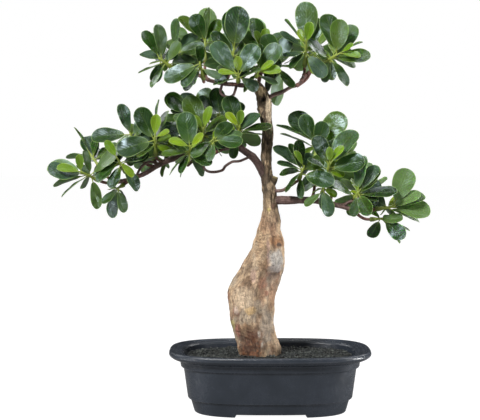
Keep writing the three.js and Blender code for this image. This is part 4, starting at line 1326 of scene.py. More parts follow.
@dataclass
class Trunk:
    """The length of real wood: rings round a bent line, with furrows, lumps, stains and painted light and
    shade on its skin.

    A station is its height, its middle x and y, its half width and half depth, and a bend its x,
    height and radius.
    """

    sink: float = 16.0
    foot: Row = (63.5, -12.5, 0, 25, 21)
    foot_top: float = 67.8
    stations: tuple[Row, ...] = (
        (82, -16.2, 0, 24.6, 20.5), (106, -20.7, -1, 25.5, 21.5), (130, -21, -1, 27.6, 22.5),
        (142, -20.4, -1, 28.8, 22.5), (149, -18.3, -1, 28.5, 22), (155, -15.6, 0, 27.6, 21),
        (167, -9.9, 0, 26.1, 19.5), (179, -6.6, 0, 23.4, 18), (191, -3.3, 0, 19.5, 16),
        (203, -1.8, 0, 17.4, 14.5), (215, -1.8, 0, 13.8, 12.5), (227, 0, 0, 12, 11.5),
        (239, 0.3, 0, 9.6, 9.8), (251, 0, 0, 8.4, 9), (263, -1, 0, 8.6, 8.6), (277, -3.4, 0, 7.6, 8),
        (290, -4.2, 0, 6.6, 7.4), (311, -4.2, 0, 6.6, 7), (335, -2.6, 0, 7.2, 6.8),
        (347, -4.4, 0, 6.8, 6.6), (359, -6.3, 0, 8.4, 6.8), (370, -7.5, 0, 8.6, 6.8),
    )
    bend: tuple[Point, ...] = ((-10.5, 379, 7.2), (-15.5, 386, 6.4), (-21, 391, 5.6))
    bend_tilt: float = 22.0
    bend_step: float = 16.0
    relief: float = 0.05
    knot: Point = (-8.4, -7.6, 371)
    knot_radius: float = 2.6
    knot_lip: float = 0.9
    knot_depth: float = 3.4
    stub: tuple[Point, Point] = ((-1, -1, 258), (6.4, -2.5, 279))
    stub_radius: float = 3.6
    # Of the stub: how far along each ring is, its share of the radius, and how bare the wood is
    stub_rings: tuple[Point, ...] = (
        (0, 1, 0), (0.3, 1, 0), (0.55, 0.96, 0), (0.75, 1.04, 0), (0.9, 1.06, 0.1), (0.97, 1.02, 0.3),
        (1, 0.93, 0.6), (1, 0.78, 1), (0.985, 0.72, 1), (0.98, 0.2, 0.8),
    )
    rows: int = 400
    columns: int = 144
    # The bark's noise: its height, how much z is squeezed, size, seed and layers; the same of its cracks
    noises: tuple[Row, ...] = (
        (0.9, 1, 15, 8, 3), (0.55, 0.4, 5, 9, 3), (0.28, 0.4, 2.4, 10, 2), (0.5, 0.6, 5.5, 19, 3)
    )
    cracks: tuple[Row, ...] = ((0.6, 11, 11), (0.8, 6, 12), (0.22, 3.6, 13))
    upper: Colour = paint(70, 56, 40)
    upper_span: Row = (222.0, 262.0)
    light: Colour = paint(198, 168, 134)
    rust: Colour = paint(146, 92, 56)
    bare: Colour = paint(196, 178, 110)
    # Woods and flecks: colour, size and seed of their noise, and where it starts and is full
    woods: tuple[tuple, ...] = (
        (paint(158, 144, 126), 17, 1, 0.1, 0.5), (paint(132, 98, 70), 12, 2, 0.1, 0.55),
        (paint(128, 82, 62), 15, 3, 0.3, 0.7),
    )
    flecks: tuple[tuple, ...] = (
        (paint(74, 52, 38), 4.2, 5, 0.15, 0.6), (paint(204, 180, 150), 5.2, 7, 0.25, 0.65),
        (paint(184, 158, 126), 4.6, 17, 0.1, 0.5),
    )

    def skeleton(self) -> Array:
        """Middle, half width, half depth and tilt at even steps up the trunk.

        Returns:
            x, y, z, half width, half depth and tilt in radians, (rows, 6).
        """
        level, *foot = self.foot
        stations = [(z, *foot) for z in (level - self.sink, self.foot_top)] + list(self.stations)
        known = [(x, y, z, wide, deep, 0) for z, x, y, wide, deep in stations]
        for step, (x, z, radius) in enumerate(self.bend):
            known.append((x, 0, z, radius, radius, math.radians(self.bend_tilt + self.bend_step * step)))
        known = np.array(known, float)
        travel = np.concatenate([[0], np.cumsum(np.linalg.norm(np.diff(known[:, :3], axis=0), axis=1))])
        return smooth_through(travel, known, np.linspace(0, travel[-1], self.rows))

    def marked(self, places: Array, sides: Array) -> tuple[Array, Array]:
        """How far the lumps and furrows move the skin, and how deep in a furrow it is, which sets the painted
        shade there.

        A lump is height times e to the minus (dx / half x)^2 + (dz / half z)^2; a furrow is minus
        depth times e to the minus (distance / width)^2. Each fades out round the trunk's side.

        Args:
            places: x and z, (..., 2).
            sides: the skin's outward direction along Y, (...).

        Returns:
            Millimetres outwards and shares from 0 to 1, (...) each.
        """
        moved, furrow_painted_shade = np.zeros(sides.shape), np.zeros(sides.shape)
        for lump in LUMPS:
            shape = np.exp(-(lump.off(places) ** 2).sum(-1))
            moved += lump.height * shape * blend(-0.35, 0.3, sides * lump.side.value)
        for furrow in FURROWS:
            near = np.exp(-((line_distance(places, furrow.points) / furrow.width) ** 2))
            near = near * blend(-0.1, 0.35, sides * furrow.side.value)
            moved -= furrow.depth * near
            furrow_painted_shade = np.maximum(furrow_painted_shade, near * min(1.0, furrow.depth / 2))
        return moved, furrow_painted_shade

    def rippled(self, places: Array) -> Array:
        """How far fine ripples move the skin: height sin(2 pi across / spacing) inside each patch.

        Args:
            places: x and z, (..., 2).

        Returns:
            Millimetres outwards, (...).
        """
        moved = np.zeros(places.shape[:-1])
        wander = 1.2 * grain(np.concatenate([places, places[..., :1] * 0], axis=-1), 9.0, 31.0)
        for ripple in RIPPLES:
            angle = math.radians(ripple.angle)
            across = (places - [ripple.x, ripple.z]) @ [math.sin(angle), math.cos(angle)] + wander
            inside = 1 - blend(0.6, 1.2, np.linalg.norm(ripple.off(places), axis=-1))
            moved += ripple.height * np.sin(2 * np.pi * across / ripple.spacing) * inside
        return moved

    def colour_and_painted_light(self, places: Array, sides: Array, skin: Array, raised: Array) -> Array:
        """The skin's colour: four woods mixed by noise, the darker upper part, flecks and stains, and painted
        light and shade.

        Args:
            places: x and z, (..., 2).
            sides: the skin's outward direction along Y, (...).
            skin: its points, (..., 3).
            raised: how far it stands out, from -1 to 1, for painted light on the relief and painted shade in
                the furrows.

        Returns:
            Linear colours, (..., 3).
        """
        tone = np.broadcast_to(np.array(self.light), skin.shape)
        for colour, size, seed, low, high in self.woods:
            tone = toward(tone, colour, 0.8 * blend(low, high, layered(skin * [1, 1, 0.55], size, seed)))
        old = blend(*self.upper_span, skin[..., 2] + 8 * grain(skin, 9.0, 6.0))
        tone = toward(tone, self.upper, old * 0.9)
        for (colour, size, seed, low, high), most in zip(self.flecks, (0.55, 0.5 * (1 - old), 0.8 * old)):
            tone = toward(tone, colour, most * blend(low, high, layered(skin * [1, 1, 0.5], size, seed)))
        wander = np.stack([layered(skin, 5.0, 20.0), layered(skin, 5.0, 21.0)], axis=-1)
        # Stains, and the patches of painted shadow, shade and highlight
        for colour_patch in STAINS_AND_PAINTED_LIGHT:
            reach = np.linalg.norm(colour_patch.off(places) + 0.28 * wander, axis=-1)
            share = colour_patch.strength * (1 - blend(0.55, 1.3, reach))
            tone = toward(tone, paint(*colour_patch.colour), share * blend(-0.3, 0.35, sides * colour_patch.side.value))
        low = (1 - blend(68, 104, skin[..., 2])) * (1 - blend(-14, -2, places[..., 0]))
        tone = toward(tone, self.rust, blend(0.2, 0.5, layered(skin, 2.2, 23.0)) * low * 0.7)
        # Painted light and shade: lighter where the skin stands out, darker in the furrows
        return tone * (1 + 0.28 * np.clip(raised, -1, 1))[..., None]

    def bark(self, skin: Array, thin: Array, old: Array) -> tuple[Array, Array]:
        """The bark's relief: layers of noise, less its cracks, which are finer on the upper part.

        Args:
            skin: places on the trunk, (..., 3).
            thin: under 1 where the trunk is thin, (...).
            old: 1 on the upper part, (...).

        Returns:
            Millimetres outwards, and cracks from 0 to 1, (...) each.
        """
        rough = 0
        for (height, squeeze, *kind), share in zip(self.noises, (thin, thin, 1, old)):
            rough = rough + height * share * layered(skin * [1, 1, squeeze], *kind)
        broad, short, tall = (creased(skin * [1, 1, squeeze], *kind) for squeeze, *kind in self.cracks)
        cracks = np.maximum(broad, 0.7 * short) * (1 - 0.7 * old) + old * tall
        return rough - (0.42 + 0.45 * old) * cracks, cracks

    def surface(self) -> Surface:
        """The trunk's skin: an ellipse at each station, with long ridges, relief and the knot hole.

        A ring's point is middle + (half width cos a, half depth sin a) times a ridge of 1 + relief
        sin(5 a + 0.035 z), pushed out along the ellipse's normal.

        Returns:
            The closed surface.
        """
        bones = self.skeleton()[:, None]
        level, wide, deep, tilt = np.moveaxis(bones[..., 2:], -1, 0)
        angle = turns(self.columns)[None]
        free = blend(self.foot[0] - 4, self.foot[0] + 12, level)
        ridge = 1 + self.relief * free * np.sin(5 * angle + level * 0.035)
        flat = np.stack([wide * np.cos(angle) * ridge, deep * np.sin(angle) * ridge], axis=-1)
        out = unit(np.stack([np.cos(angle) / wide, np.sin(angle) / deep], axis=-1))
        lean = np.stack([np.cos(tilt), 0 * tilt, np.sin(tilt)], axis=-1)
        skin = bones[..., :3] + flat[..., :1] * lean + flat[..., 1:] * [0, 1, 0]
        places, sides = skin[..., [0, 2]], out[..., 1]
        moved, furrow_painted_shade = self.marked(places, sides)
        rough, cracks = self.bark(skin, np.clip(wide / 24, 0.3, 1), blend(*self.upper_span, level))
        rough = rough + self.rippled(places) * blend(0.0, 0.5, -sides)
        moved = (moved + rough) * (0.25 + 0.75 * free)
        hole = np.linalg.norm((skin - np.array(self.knot)) * [1, 0.5, 1], axis=-1) / self.knot_radius
        lip = self.knot_lip * np.exp(-(((hole - 1.5) / 0.35) ** 2))
        lip = lip - self.knot_depth * (1 - blend(0.45, 1.15, hole))
        moved = moved + lip * blend(0.1, 0.5, -sides)
        # Painted shade in the furrows and cracks, and painted light on the relief
        tone = self.colour_and_painted_light(places, sides, skin, rough / 0.9 - 1.6 * furrow_painted_shade) * (1 - 0.24 * cracks)[..., None]
        push = out * moved[..., None]
        skin = skin + push[..., :1] * lean + push[..., 1:] * [0, 1, 0]
        flow = np.broadcast_arrays(wide * np.cos(angle), deep * np.sin(angle), skin[..., 2])
        return lofted(skin, np.stack(flow, axis=-1), opaque(tone))

    def cut_stub(self) -> Surface:
        """The sawn-off shoot: a bar with a rim of bark and a pale, slightly hollow end.

        Returns:
            The closed surface.
        """
        start, end = np.array(self.stub, float)
        at, swell, bare = np.array(self.stub_rings).T[..., None]
        along = unit(end - start)
        across = unit(np.cross(along, [0, 0, 1]))
        angle = turns(28)[:, None]
        circle = np.cos(angle) * across + np.sin(angle) * np.cross(along, across)
        rings = (start + (end - start) * at)[:, None] + (self.stub_radius * swell)[..., None] * circle
        rough = 0.35 * layered(rings, 3.0, 4.0) * (at < 0.98)
        tone = toward(np.broadcast_to(self.upper, rings.shape), self.bare, bare)
        rings = rings + circle * rough[..., None]
        return lofted(rings, rings, opaque(tone))

    def build(self, shop: Workshop) -> None:
        """Makes the trunk with its stub."""
        Piece("trunk", [(self.surface(), 0), (self.cut_stub(), 0)]).make(shop, "trunk", 60)


@dataclass
class Branch:
    """A moulded branch with its loops of wire and a twig to each spray that it carries."""

    name: str
    limb: Limb
    sprigs: list[Sprig]
    columns: int = 20
    thin_columns: int = 12
    step: float = 1.6
    loop_radius: float = 1.6
    twig_start: float = 2.1
    twig_end: float = 1.7
    relief: float = 0.1
    dark: Row = (*paint(96, 72, 65), 1.0)
    tip: Row = (*paint(112, 68, 56), 1.0)

    def limb_radius(self, share: Array) -> Array:
        """The limb's radius at a share of its path."""
        return self.limb.start + (self.limb.end - self.limb.start) * share

    def stem(self) -> Surface:
        """The limb itself, with low swellings like the joints of a real one.

        Returns:
            The closed surface.
        """
        points = np.array(self.limb.path, float)
        length = np.linalg.norm(np.diff(points, axis=0), axis=1).sum()
        shares = np.linspace(0, 1, int(length / self.step) + 8)
        swell = 1 + 0.07 * grain(np.outer(shares * length, [1, 0, 0]) + len(points), 9.0, 2.0)
        radii = self.limb_radius(shares) * swell * 0.97
        return tube(path_points(points, shares), radii, self.columns, self.dark, self.relief)

    def loop(self, loop: list[Point]) -> Surface:
        """One loop of thin wire."""
        path = path_points(np.array(loop, float), np.linspace(0, 1, len(loop) * 6))
        return tube(path, np.full(len(path), self.loop_radius), self.thin_columns, self.dark, self.relief)

    def twig(self, sprig: Sprig) -> Surface:
        """The twig to one spray: a Bezier curve that leaves along the limb and ends in the sleeve.

        Args:
            sprig: the spray's row.

        Returns:
            The closed surface.
        """
        points, stem = np.array(self.limb.path, float), np.array(sprig.stem, float)
        at = min(sprig.along, 0.995)
        start, foot, arriving = path_points(points, np.array([at]))[0], sprig.tip - stem, unit(stem)
        distance = np.linalg.norm(foot - start)
        reach = distance * 0.45
        controls = [start, start + path_direction(points, at) * reach * 0.6, foot - arriving * reach, foot]
        shares = np.linspace(0, 1, max(8, int(distance / self.step)))
        thick = min(self.twig_start, float(self.limb_radius(np.array(sprig.along))))
        radii = thick + (self.twig_end - thick) * shares
        radii = radii * (1 + 0.35 * np.exp(-((shares / 0.12) ** 2)))
        path = np.vstack([bezier(controls, shares), foot + arriving * 1.6])
        return tube(path, np.append(radii, radii[-1]), self.thin_columns, self.tip, self.relief)

    def build(self, shop: Workshop) -> None:
        """Makes the branch."""
        parts = [self.stem(), *map(self.loop, self.limb.loops), *map(self.twig, self.sprigs)]
        Piece(self.name, [(part, 0) for part in parts]).make(shop, "branch", 60)


@dataclass(frozen=True)
class LeafForm:
    """The form of a leaf blade, in shares of its length or half width.

    slimness is width for each length, start where the blade leaves its stalk, swell and taper the
    outline's powers, fold how far the halves are lifted, wave how far the rim is.
    """

    slimness: float
    start: float
    swell: float
    taper: float
    fold: float
    wave: float
    thickness: float = 0.56


class LeafGrid:
    """The grid that every blade shares: a disc laid over a square, so that no row shrinks to nothing.

    A square's point (u, v) goes to X = u sqrt(1 - v^2 / 2), Y = v sqrt(1 - u^2 / 2). X runs along
    the blade, and Y over sqrt(1 - X^2) across it.
    """

    def __init__(self, rows: int, columns: int) -> None:
        """Works out the grid's points and its faces: upper side, underside and rim.

        Args:
            rows, columns: its faces along and across a blade.
        """
        u, v = np.meshgrid(np.linspace(-1, 1, rows + 1), np.linspace(-1, 1, columns + 1), indexing="ij")
        along, across = u * np.sqrt(1 - v**2 / 2), v * np.sqrt(1 - u**2 / 2)
        self.share = ((along + 1) / 2).ravel()
        self.across = (across / np.sqrt(np.maximum(1 - along**2, 1e-6))).clip(-1, 1).ravel()
        self.edge = (np.maximum(np.abs(u), np.abs(v)) > 0.999).astype(float).ravel()
        number, wide = np.arange(u.size).reshape(u.shape), columns + 1
        here = number[:-1, :-1].ravel()
        upper = np.stack([here, here + 1, here + 1 + wide, here + wide], axis=1)
        loop = np.concatenate([number[0, :-1], number[:-1, -1], number[-1, :0:-1], number[:0:-1, 0]])
        after = np.roll(loop, -1)
        rim = np.stack([loop + u.size, after + u.size, after, loop], axis=1)
        self.faces = np.vstack([upper, upper[:, ::-1] + u.size, rim])


LEAF_GRID = LeafGrid(12, 6)


@dataclass(frozen=True)
class Leaf:
    """One leaf in place: where its stalk starts, its directions, length, arch and looks.

    chance sets its looks, shade is painted shade that darkens it, under 1 inside the canopy, pale is 1 where
    its underside is turned to the front, and young is for a bright leaf on a mature spray.
    """

    base: Array
    along: Array
    face: Array
    length: float
    bow: float
    chance: float
    form: LeafForm
    shade: float = 1.0
    pale: float = 0.0
    young: bool = False

    def blade(self) -> Surface:
        """The blade: both sides of the grid and its rim.

        The outline's half width is W = s^swell sqrt(1 - s^taper) over its own greatest value; a point
        is base + along L s + face L bow s^2, moved across by W, and lifted by the fold and waves.

        Returns:
            The closed surface.
        """
        form, s, v, edge = self.form, LEAF_GRID.share, LEAF_GRID.across, LEAF_GRID.edge
        swell = form.swell * (0.85 + 0.45 * draw(self.chance * 37 + 4))
        peak = (swell / (swell + form.taper / 2)) ** (1 / form.taper)
        most = peak**swell * math.sqrt(1 - peak**form.taper)
        width = s**swell * np.sqrt(np.maximum(1 - s**form.taper, 0)) / most
        slim = 1.03 - 0.2 * draw(self.chance * 41 + 3) - 0.18 * max(0.0, -self.along[2])
        half = width * self.length * form.slimness * slim / 2
        at = form.start + (1.01 - form.start) * s
        second = 2.3 * s - self.chance * 5 + 0.3 * np.sign(v)
        waves = np.sin(2 * np.pi * (1.4 * s + self.chance * 7)) + 0.5 * np.sin(2 * np.pi * second)
        lift = form.fold * np.abs(v) ** 1.4 * half + form.wave * self.length * waves * v**2 * width
        droop = -0.05 * self.length * np.maximum(s - 0.7, 0) ** 2 * (1 + 3 * self.chance)
        middle = self.base + np.outer(self.length * at, self.along)
        middle = middle + np.outer(self.bow * self.length * at**2 + droop + lift, self.face)
        middle = middle + np.outer(half * v, np.cross(self.along, self.face))
        normal = unit(self.face - np.outer(2 * self.bow * at, self.along))
        thick = (form.thickness * (0.5 + 0.25 * np.exp(-((v / 0.2) ** 2))) * (1 - 0.35 * edge))[:, None]
        # Painted shade: shade darkens the leaf's lightness and warmth
        light = self.shade * (0.05 + 0.95 * draw(self.chance * 91 + 1) ** 1.4)
        warm = self.shade * max(0.0, draw(self.chance * 57 + 2) - 0.6) * 1.8
        pale = max(self.pale, blend(0.86, 0.98, draw(self.chance * 29 + 5)) * 0.5)
        points = np.vstack([middle + normal * thick / 2, middle - normal * thick])
        same = np.ones(len(s))
        flow = np.column_stack([v, s, same * self.chance * 10])
        tones = [np.column_stack([same * light, same * warm, same * below, edge]) for below in (pale, 1)]
        return Surface(points, (LEAF_GRID.faces,), np.vstack([flow, flow]), np.vstack(tones))

    def stalk(self) -> Surface:
        """The stalk: a tapered bar along the blade's own arch that runs on under its midrib.

        Returns:
            The closed surface.
        """
        at = np.linspace(-0.01, self.form.start + 0.12, 6)
        path = self.base + np.outer(self.length * at, self.along)
        path = path + np.outer(self.bow * self.length * at * np.abs(at) - 0.25, self.face)
        return tube(path, np.linspace(0.85, 0.5, len(at)), 6, (0.9, 0.1, 0, 1))


class Obstacles:
    """What an added leaf has to clear: the frame's own solids and the leaves added so far."""

    def __init__(self, shop: Workshop, nodes: list[bpy.types.Object]) -> None:
        """Gathers the triangles of the frame's nodes.

        Args:
            shop: the workshop.
            nodes: the nodes.
        """
        corners, faces, count = [], [], 0
        for node in nodes:
            corners.append(shop.node_points(node))
            faces += [[count + number for number in face.vertices] for face in node.data.polygons]
            count += len(corners[-1])
        self.trees = [BVHTree.FromPolygons(np.vstack(corners).tolist(), faces)]

    def clear(self, leaf: Leaf) -> bool:
        """Takes a leaf in if its blade crosses nothing.

        Args:
            leaf: the leaf.

        Returns:
            Whether it was clear.
        """
        blade = leaf.blade()
        tree = BVHTree.FromPolygons(blade.points.tolist(), blade.faces[0].tolist())
        if any(tree.overlap(other) for other in self.trees):
            return False
        self.trees.append(tree)
        return True


def leaf_directions(facing: Array, clock: float, lean: float, turn: float) -> tuple[Array, Array]:
    """A leaf's directions along its length and out of its face.

    Args:
        facing: which way its face looks where it can.
        clock, lean, turn: its angles in degrees.

    Returns:
        Both unit vectors.
    """
    angle, tilt = math.radians(clock), math.radians(lean)
    flat = math.cos(tilt)
    along = np.array([math.cos(angle) * flat, -math.sin(tilt), math.sin(angle) * flat])
    face = unit(facing - along * (facing @ along))
    angle = math.radians(turn) * (-1 if along[0] > 0 else 1)
    return along, face * math.cos(angle) + np.cross(along, face) * math.sin(angle)


def bent_directions(along: Array, face: Array, tilt_step: float, step: int) -> tuple[Array, Array]:
    """The same directions bent by one step of a widening spiral.

    Args:
        along, face: the leaf's directions.
        tilt_step: the tilt for the square root of a step, in degrees.
        step: which step.

    Returns:
        Both unit vectors.
    """
    tilt = math.tan(math.radians(tilt_step * math.sqrt(step)))
    turn = math.radians(GOLDEN_ANGLE * step)
    side = np.cross(along, face)
    bent = unit(along + side * tilt * math.cos(turn) + face * tilt * math.sin(turn))
    return bent, unit(face - bent * (face @ bent))


MATURE_FORM = LeafForm(slimness=0.6, start=0.16, swell=0.56, taper=2.5, fold=0.14, wave=0.012)
YOUNG_FORM = LeafForm(slimness=0.46, start=0.14, swell=0.64, taper=2.3, fold=0.34, wave=0.01)


@dataclass
class Spray:
    """A moulded spray or its young tip: the stem and every leaf that the CAD node holds."""

    kind: Kind
    name: str
    sprig: Sprig
    seed: int
    tries: int = 32
    tilt_step: float = 5.0
    spacing: float = 2.1
    sleeve_length: float = 11.0
    bud_length: float = 4.0
    young_scale: float = 0.8
    cad_slimness: float = 0.6
    tip_share: float = 0.34
    tip_thickness: float = 0.8
    found_within: float = 0.04
    filler_tries: int = 90
    filler_count: int = 3
    filler_most: int = 9
    # How far painted shade darkens the mature fillers inside the canopy
    filler_painted_shade: float = 0.45
    filler_young: float = 0.22
    filler_scale: float = 0.7
    reach_step: float = 4.0
    reach_sides: int = 15
    reach_tries: int = 75
    # The sleeve: how far along it, in shares, and its radius; then the same for the bare stem
    sleeve: tuple[Row, ...] = ((0, 2.3), (0.06, 2.75), (0.25, 2.95), (0.5, 2.8), (0.75, 2.3), (1, 1.75))
    bare: tuple[Row, ...] = ((0.3, 1.5), (0.6, 1.45), (0.85, 1.35), (1, 1.15))

    def __post_init__(self) -> None:
        """Works out what its leaves and stem start from."""
        self.young = self.kind is Kind.YOUNG
        self.tip, self.length = np.array(self.sprig.tip, float), float(np.linalg.norm(self.sprig.stem))
        self.along = unit(np.array(self.sprig.stem, float))

    def rows(self) -> list[Row]:
        """Its leaves' rows, with those that a rule adds behind by the golden angle, leaning back.

        Returns:
            Clock angle, lean, length and perhaps turn, for each.
        """
        if self.young:
            return self.sprig.young
        back = 0 if self.sprig.leaves else 8
        more = [
            (
                draw(self.seed * 3.7, 0, 360) + GOLDEN_ANGLE * number,
                draw(self.seed * 5 + number, -28, -58) + back,
                draw(self.seed * 11 + number, 36, 44),
            )
            for number in range(self.sprig.more)
        ]
        return self.sprig.leaves + more

    def leaves(self, corners: Array) -> list[Leaf]:
        """Every leaf of the node, bent as the CAD's is.

        The CAD bends a leaf by steps of a widening spiral until it is clear, so each step's blade end
        is looked for among the node's corners.

        Args:
            corners: the CAD node's corners in millimetres, (n, 3).

        Returns:
            The leaves that were found.
        """
        found = []
        for index, (clock, lean, length, *turned) in enumerate(self.rows()):
            chance = draw(self.seed * 31 + index * 7 + (400 if self.young else 0))
            turn = sum(turned) + 16 * (chance - 0.5)
            start = GAP + self.bud_length * 0.6 if self.young else -2 - self.spacing * index
            directions = leaf_directions(self.sprig.facing, clock, lean, turn)
            for step in range(self.tries):
                along, face = bent_directions(*directions, self.tilt_step, step)
                leaf = Leaf(
                    self.tip + self.along * start, along, face,
                    length * (self.young_scale if self.young else 1),
                    draw(self.seed * 17 + index * 5 + 3, -0.16, 0.08), chance,
                    YOUNG_FORM if self.young else MATURE_FORM,
                    pale=UNDERSIDES.get(self.name, 0.0) * float(draw(chance * 83) > 0.2),
                )
                if self.stands(corners, leaf):
                    found.append(leaf)
                    break
        return found

    def stands(self, corners: Array, leaf: Leaf) -> bool:
        """Whether the blade end of such a leaf is among the CAD node's corners.

        Args:
            corners: (n, 3).
            leaf: the leaf.

        Returns:
            True where both upper corners of its end are there.
        """
        normal = unit(leaf.face - leaf.along * 2 * leaf.bow)
        middle = leaf.base + leaf.along * leaf.length + leaf.face * leaf.bow * leaf.length
        middle = middle + normal * self.tip_thickness / 2
        side = np.cross(leaf.along, leaf.face) * leaf.length * self.cad_slimness / 2 * self.tip_share
        ends = np.stack([middle - side, middle + side])
        gaps = np.linalg.norm(corners[None] - ends[:, None], axis=-1).min(axis=1)
        return bool(gaps.max() < self.found_within)

    def fillers(self, obstacles: Obstacles) -> list[Leaf]:
        """Small leaves that fill the inside of the spray, where they cross nothing.

        Args:
            obstacles: what they have to clear.

        Returns:
            The leaves.
        """
        found, room = [], self.length - self.sleeve_length - 4
        for number in range(self.filler_tries):
            key = self.seed * 3.3 + number * 7.7
            young = draw(key + 8) < self.filler_young
            directions = leaf_directions(
                self.sprig.facing, draw(key, 0, 360), draw(key + 1, -70, 5), draw(key + 2, -40, 40)
            )
            leaf = Leaf(
                self.tip - self.along * (3 + room * draw(key + 3)), *directions,
                draw(key + 4, 26, 38) * (self.filler_scale if young else 1),
                draw(key + 5, -0.14, 0.06), draw(key + 6), YOUNG_FORM if young else MATURE_FORM,
                # The mature fillers inside the canopy get painted shade
                shade=1.0 if young else self.filler_painted_shade, young=young,
            )
            if obstacles.clear(leaf):
                found.append(leaf)
            if len(found) == min(self.filler_count * (1 + self.sprig.more), self.filler_most):
                break
        return found

    def reaching(self, obstacles: Obstacles) -> list[Leaf]:
        """The leaves whose ends are known from the photograph, each where it crosses nothing.

        Args:
            obstacles: what they have to clear.

        Returns:
            The leaves.
        """
        facing, found = np.array(Face.FRONT.value), []
        for index, (*end, turn) in enumerate(REACHING.get(self.name, [])):
            for number in range(self.reach_tries):
                lower, step = divmod(number, self.reach_sides)
                aside = self.reach_step * (step // 2 + step % 2) * (-1) ** step
                base = self.tip - self.along * (1.5 + 2 * lower)
                reach = np.array(end, float) + [0, aside, 0] - base
                length = float(np.linalg.norm(reach))
                clock = math.degrees(math.atan2(reach[2], reach[0]))
                lean = math.degrees(math.asin(-reach[1] / length))
                directions = leaf_directions(facing, clock, lean, turn + 3 * aside)
                chance = draw(self.seed * 13 + index)
                # These leaves are darkened by painted shade of 0.8
                leaf = Leaf(base, *directions, length, -0.04, chance, MATURE_FORM, shade=0.8)
                if obstacles.clear(leaf):
                    found.append(leaf)
                    break
            else:
                log.info("%s: no clear way to its leaf %d", self.name, index)
        return found

    def stem(self) -> Surface:
        """The sleeve and stem: a barrel that narrows to a thin bar.

        Returns:
            The closed surface.
        """
        foot = self.tip - np.array(self.sprig.stem, float) + self.along * GAP
        length = np.linalg.norm(self.tip - foot)
        sleeve = min(self.sleeve_length, length / 2)
        at = [share * sleeve for share, _ in self.sleeve]
        at += [sleeve + (length - sleeve) * share for share, _ in self.bare]
        radii = np.array([radius for _, radius in self.sleeve + self.bare])
        bar = tube(foot + np.outer(at, self.along), radii, 14, (0.6, 0.0, 0, 1), 0.04)
        low = blend(sleeve * 1.1, sleeve * 0.2, bar.flow[:, 2])
        bar.tone[:, 0], bar.tone[:, 1] = 0.85 - 0.55 * low, 0.5 * low
        return bar

    def bud(self) -> Surface:
        """The bud that holds the young leaves, from just past the tip."""
        path = self.tip + np.outer(np.linspace(GAP, GAP + self.bud_length + 1, 6), self.along)
        return tube(path, np.array([1.15, 1.2, 1.1, 0.9, 0.6, 0.3]), 10, (1.0, 0, 0, 1))

    def build(self, shop: Workshop, node: bpy.types.Object, obstacles: Obstacles) -> int:
        """Makes the spray.

        Args:
            shop: the workshop.
            node: the CAD node that it stands for.
            obstacles: what its added leaves have to clear.

        Returns:
            How many leaves it has.
        """
        parts = [(self.bud() if self.young else self.stem(), 1)]
        leaves = self.leaves(shop.node_points(node))
        if not self.young:
            leaves += self.reaching(obstacles) + self.fillers(obstacles)
        for leaf in leaves:
            parts += [(leaf.blade(), 2 if leaf.young else 0), (leaf.stalk(), 1)]
        piece = Piece(f"{self.kind.value}_{self.name}", parts)
        piece.make(shop, "young_leaf" if self.young else "leaf", 50, ("stem", "young_leaf"))
        return len(leaves)


@dataclass(frozen=True)
class Lamp:
    """A soft box: where it stands and looks in metres, its size and power."""

    name: str
    stand: Point
    look: Point
    width: float
    height: float
    power: float


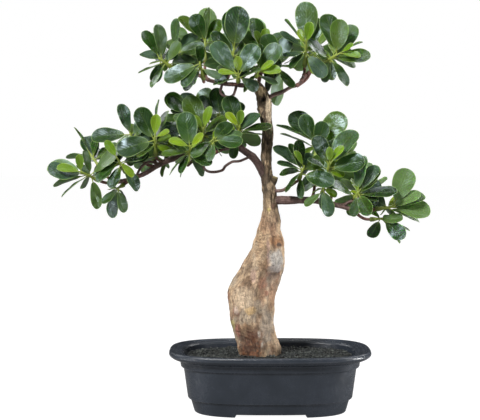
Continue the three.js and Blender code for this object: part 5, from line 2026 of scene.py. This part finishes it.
@dataclass
class Studio:
    """The camera, the pale floor, the soft boxes and the bright surroundings."""

    eye: Point = (-36, -1600, 312)
    aim: Point = (-36, 0, 239)
    lens: float = 100.1
    sensor: float = 36.0
    clips: Row = (0.05, 60.0)
    floor_radius: float = 14.0
    floor_colour: Colour = (0.17, 0.17, 0.17)
    floor_glow: float = 0.97
    floor_light: float = 0.26
    white: Colour = (1.0, 1.0, 1.0)
    sky_strength: float = 0.13
    mirrored: float = 0.35
    lamps: tuple[Lamp, ...] = (
        Lamp("key", (-0.9, -1.4, 1.5), (0, 0, 0.22), 0.5, 0.5, 57),
        Lamp("left_strip", (-1.2, -0.39, 0.036), (0, 0, 0.036), 0.2, 0.064, 5),
        Lamp("right_strip", (1.2, -0.08, 0.036), (0, 0, 0.036), 0.04, 0.064, 13),
        Lamp("top", (0.15, 0.2, 2.0), (0, 0, 0.3), 0.8, 0.6, 9),
        Lamp("back_left", (-1.3, 1.1, 1.3), (0, 0, 0.25), 0.5, 0.5, 9),
        Lamp("back_right", (1.3, 1.1, 1.3), (0, 0, 0.25), 0.5, 0.5, 9),
        Lamp("right_high", (1.3, -0.7, 0.95), (0, 0, 0.15), 0.12, 0.12, 8),
    )

    def point(self, name: str, data: bpy.types.ID, stand: Point, look: Point) -> bpy.types.Object:
        """Puts a camera or lamp in the scene, looking at a place.

        Args:
            name, data: its name and data.
            stand, look: where it stands and looks, in metres.

        Returns:
            The object.
        """
        thing = put(name, data)
        thing.location = stand
        thing.rotation_euler = (Vector(look) - Vector(stand)).to_track_quat("-Z", "Y").to_euler()
        return thing

    def floor(self) -> None:
        """Makes the plain pale floor: a flat disc that glows for the camera and less for gloss."""
        ring = np.column_stack([np.cos(turns(64)), np.sin(turns(64)), np.zeros(64)]) * self.floor_radius
        mesh = bpy.data.meshes.new("floor")
        mesh.from_pydata(ring.tolist(), [], [list(range(64))])
        material = bpy.data.materials.new("pale_floor")
        tree = Tree(material)
        seen, gloss = tree.rays("Camera", "Glossy")
        glow = tree.span(seen, self.floor_light, self.floor_glow) * tree.span(gloss, 1.0, self.mirrored)
        inputs = {
            "Base Color": self.floor_colour, "Roughness": 0.7, "Specular IOR Level": 0.0,
            "Emission Color": self.white, "Emission Strength": glow,
        }
        tree.add("ShaderNodeOutputMaterial", {"Surface": tree.get("BsdfPrincipled", inputs)})
        mesh.materials.append(material)
        floor = put("floor", mesh)

    def surroundings(self) -> None:
        """Makes the bright surroundings that light the object from all sides."""
        world = bpy.data.worlds.new("white_room")
        tree = Tree(world)
        seen, gloss = tree.rays("Camera", "Glossy")
        strength = tree.span(gloss, self.sky_strength, self.sky_strength * self.mirrored)
        sky, wall = (
            tree.get("Background", {"Color": self.white, "Strength": strong}) for strong in (strength, 1.0)
        )
        room = tree.get("MixShader", {0: seen, 1: sky, 2: wall})
        tree.add("ShaderNodeOutputWorld", {"Surface": room})
        bpy.context.scene.world = world

    def build(self, shop: Workshop) -> None:
        """Makes all of the studio, with the camera at the photograph's viewing angle.

        Args:
            shop: the workshop.
        """
        camera = bpy.data.cameras.new("view")
        camera.lens, camera.sensor_width = self.lens, self.sensor
        camera.clip_start, camera.clip_end = self.clips
        eye, aim = (shop.metres(np.array(point, float)) for point in (self.eye, self.aim))
        bpy.context.scene.camera = self.point("view", camera, eye, aim)
        self.floor()
        self.surroundings()
        for lamp in self.lamps:
            data = bpy.data.lights.new(lamp.name, "AREA")
            data.shape, data.size, data.size_y = "RECTANGLE", lamp.width, lamp.height
            data.energy = lamp.power
            self.point(lamp.name, data, lamp.stand, lamp.look).visible_camera = False
        bpy.context.scene.view_settings.view_transform = "Standard"


def main() -> None:
    """Loads the frame, builds the studio and every piece round the middle of the pot's box, and logs how many
    leaves there are.
    """
    logging.basicConfig(level=logging.INFO, format="%(message)s")
    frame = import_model()
    low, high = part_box("pot")
    Effects().build()
    finishes = {name: finish.make() for name, finish in FINISHES.items()}
    shop = Workshop(np.array([(low.x + high.x) / 2 / MM, (low.y + high.y) / 2 / MM, 0]), finishes)
    Studio().build(shop)
    planter = Planter()
    for thing in (planter, Medium(planter), Trunk()):
        thing.build(shop)
    for name, limb in BRANCHES.items():
        sprigs = [sprig for sprig in SPRAYS.values() if sprig.branch == name]
        Branch(f"branch_{name}", limb, sprigs).build(shop)
    nodes, leaves = frame["nodes"], 0
    obstacles = Obstacles(shop, nodes.values())
    for kind in Kind:
        for number, (name, sprig) in enumerate(SPRAYS.items()):
            node = nodes.get(f"{kind.value}_{name}")
            if node:
                leaves += Spray(kind, name, sprig, number + 1).build(shop, node, obstacles)
    log.info("leaves: %d", leaves)


if __name__ == "__main__":
    main()
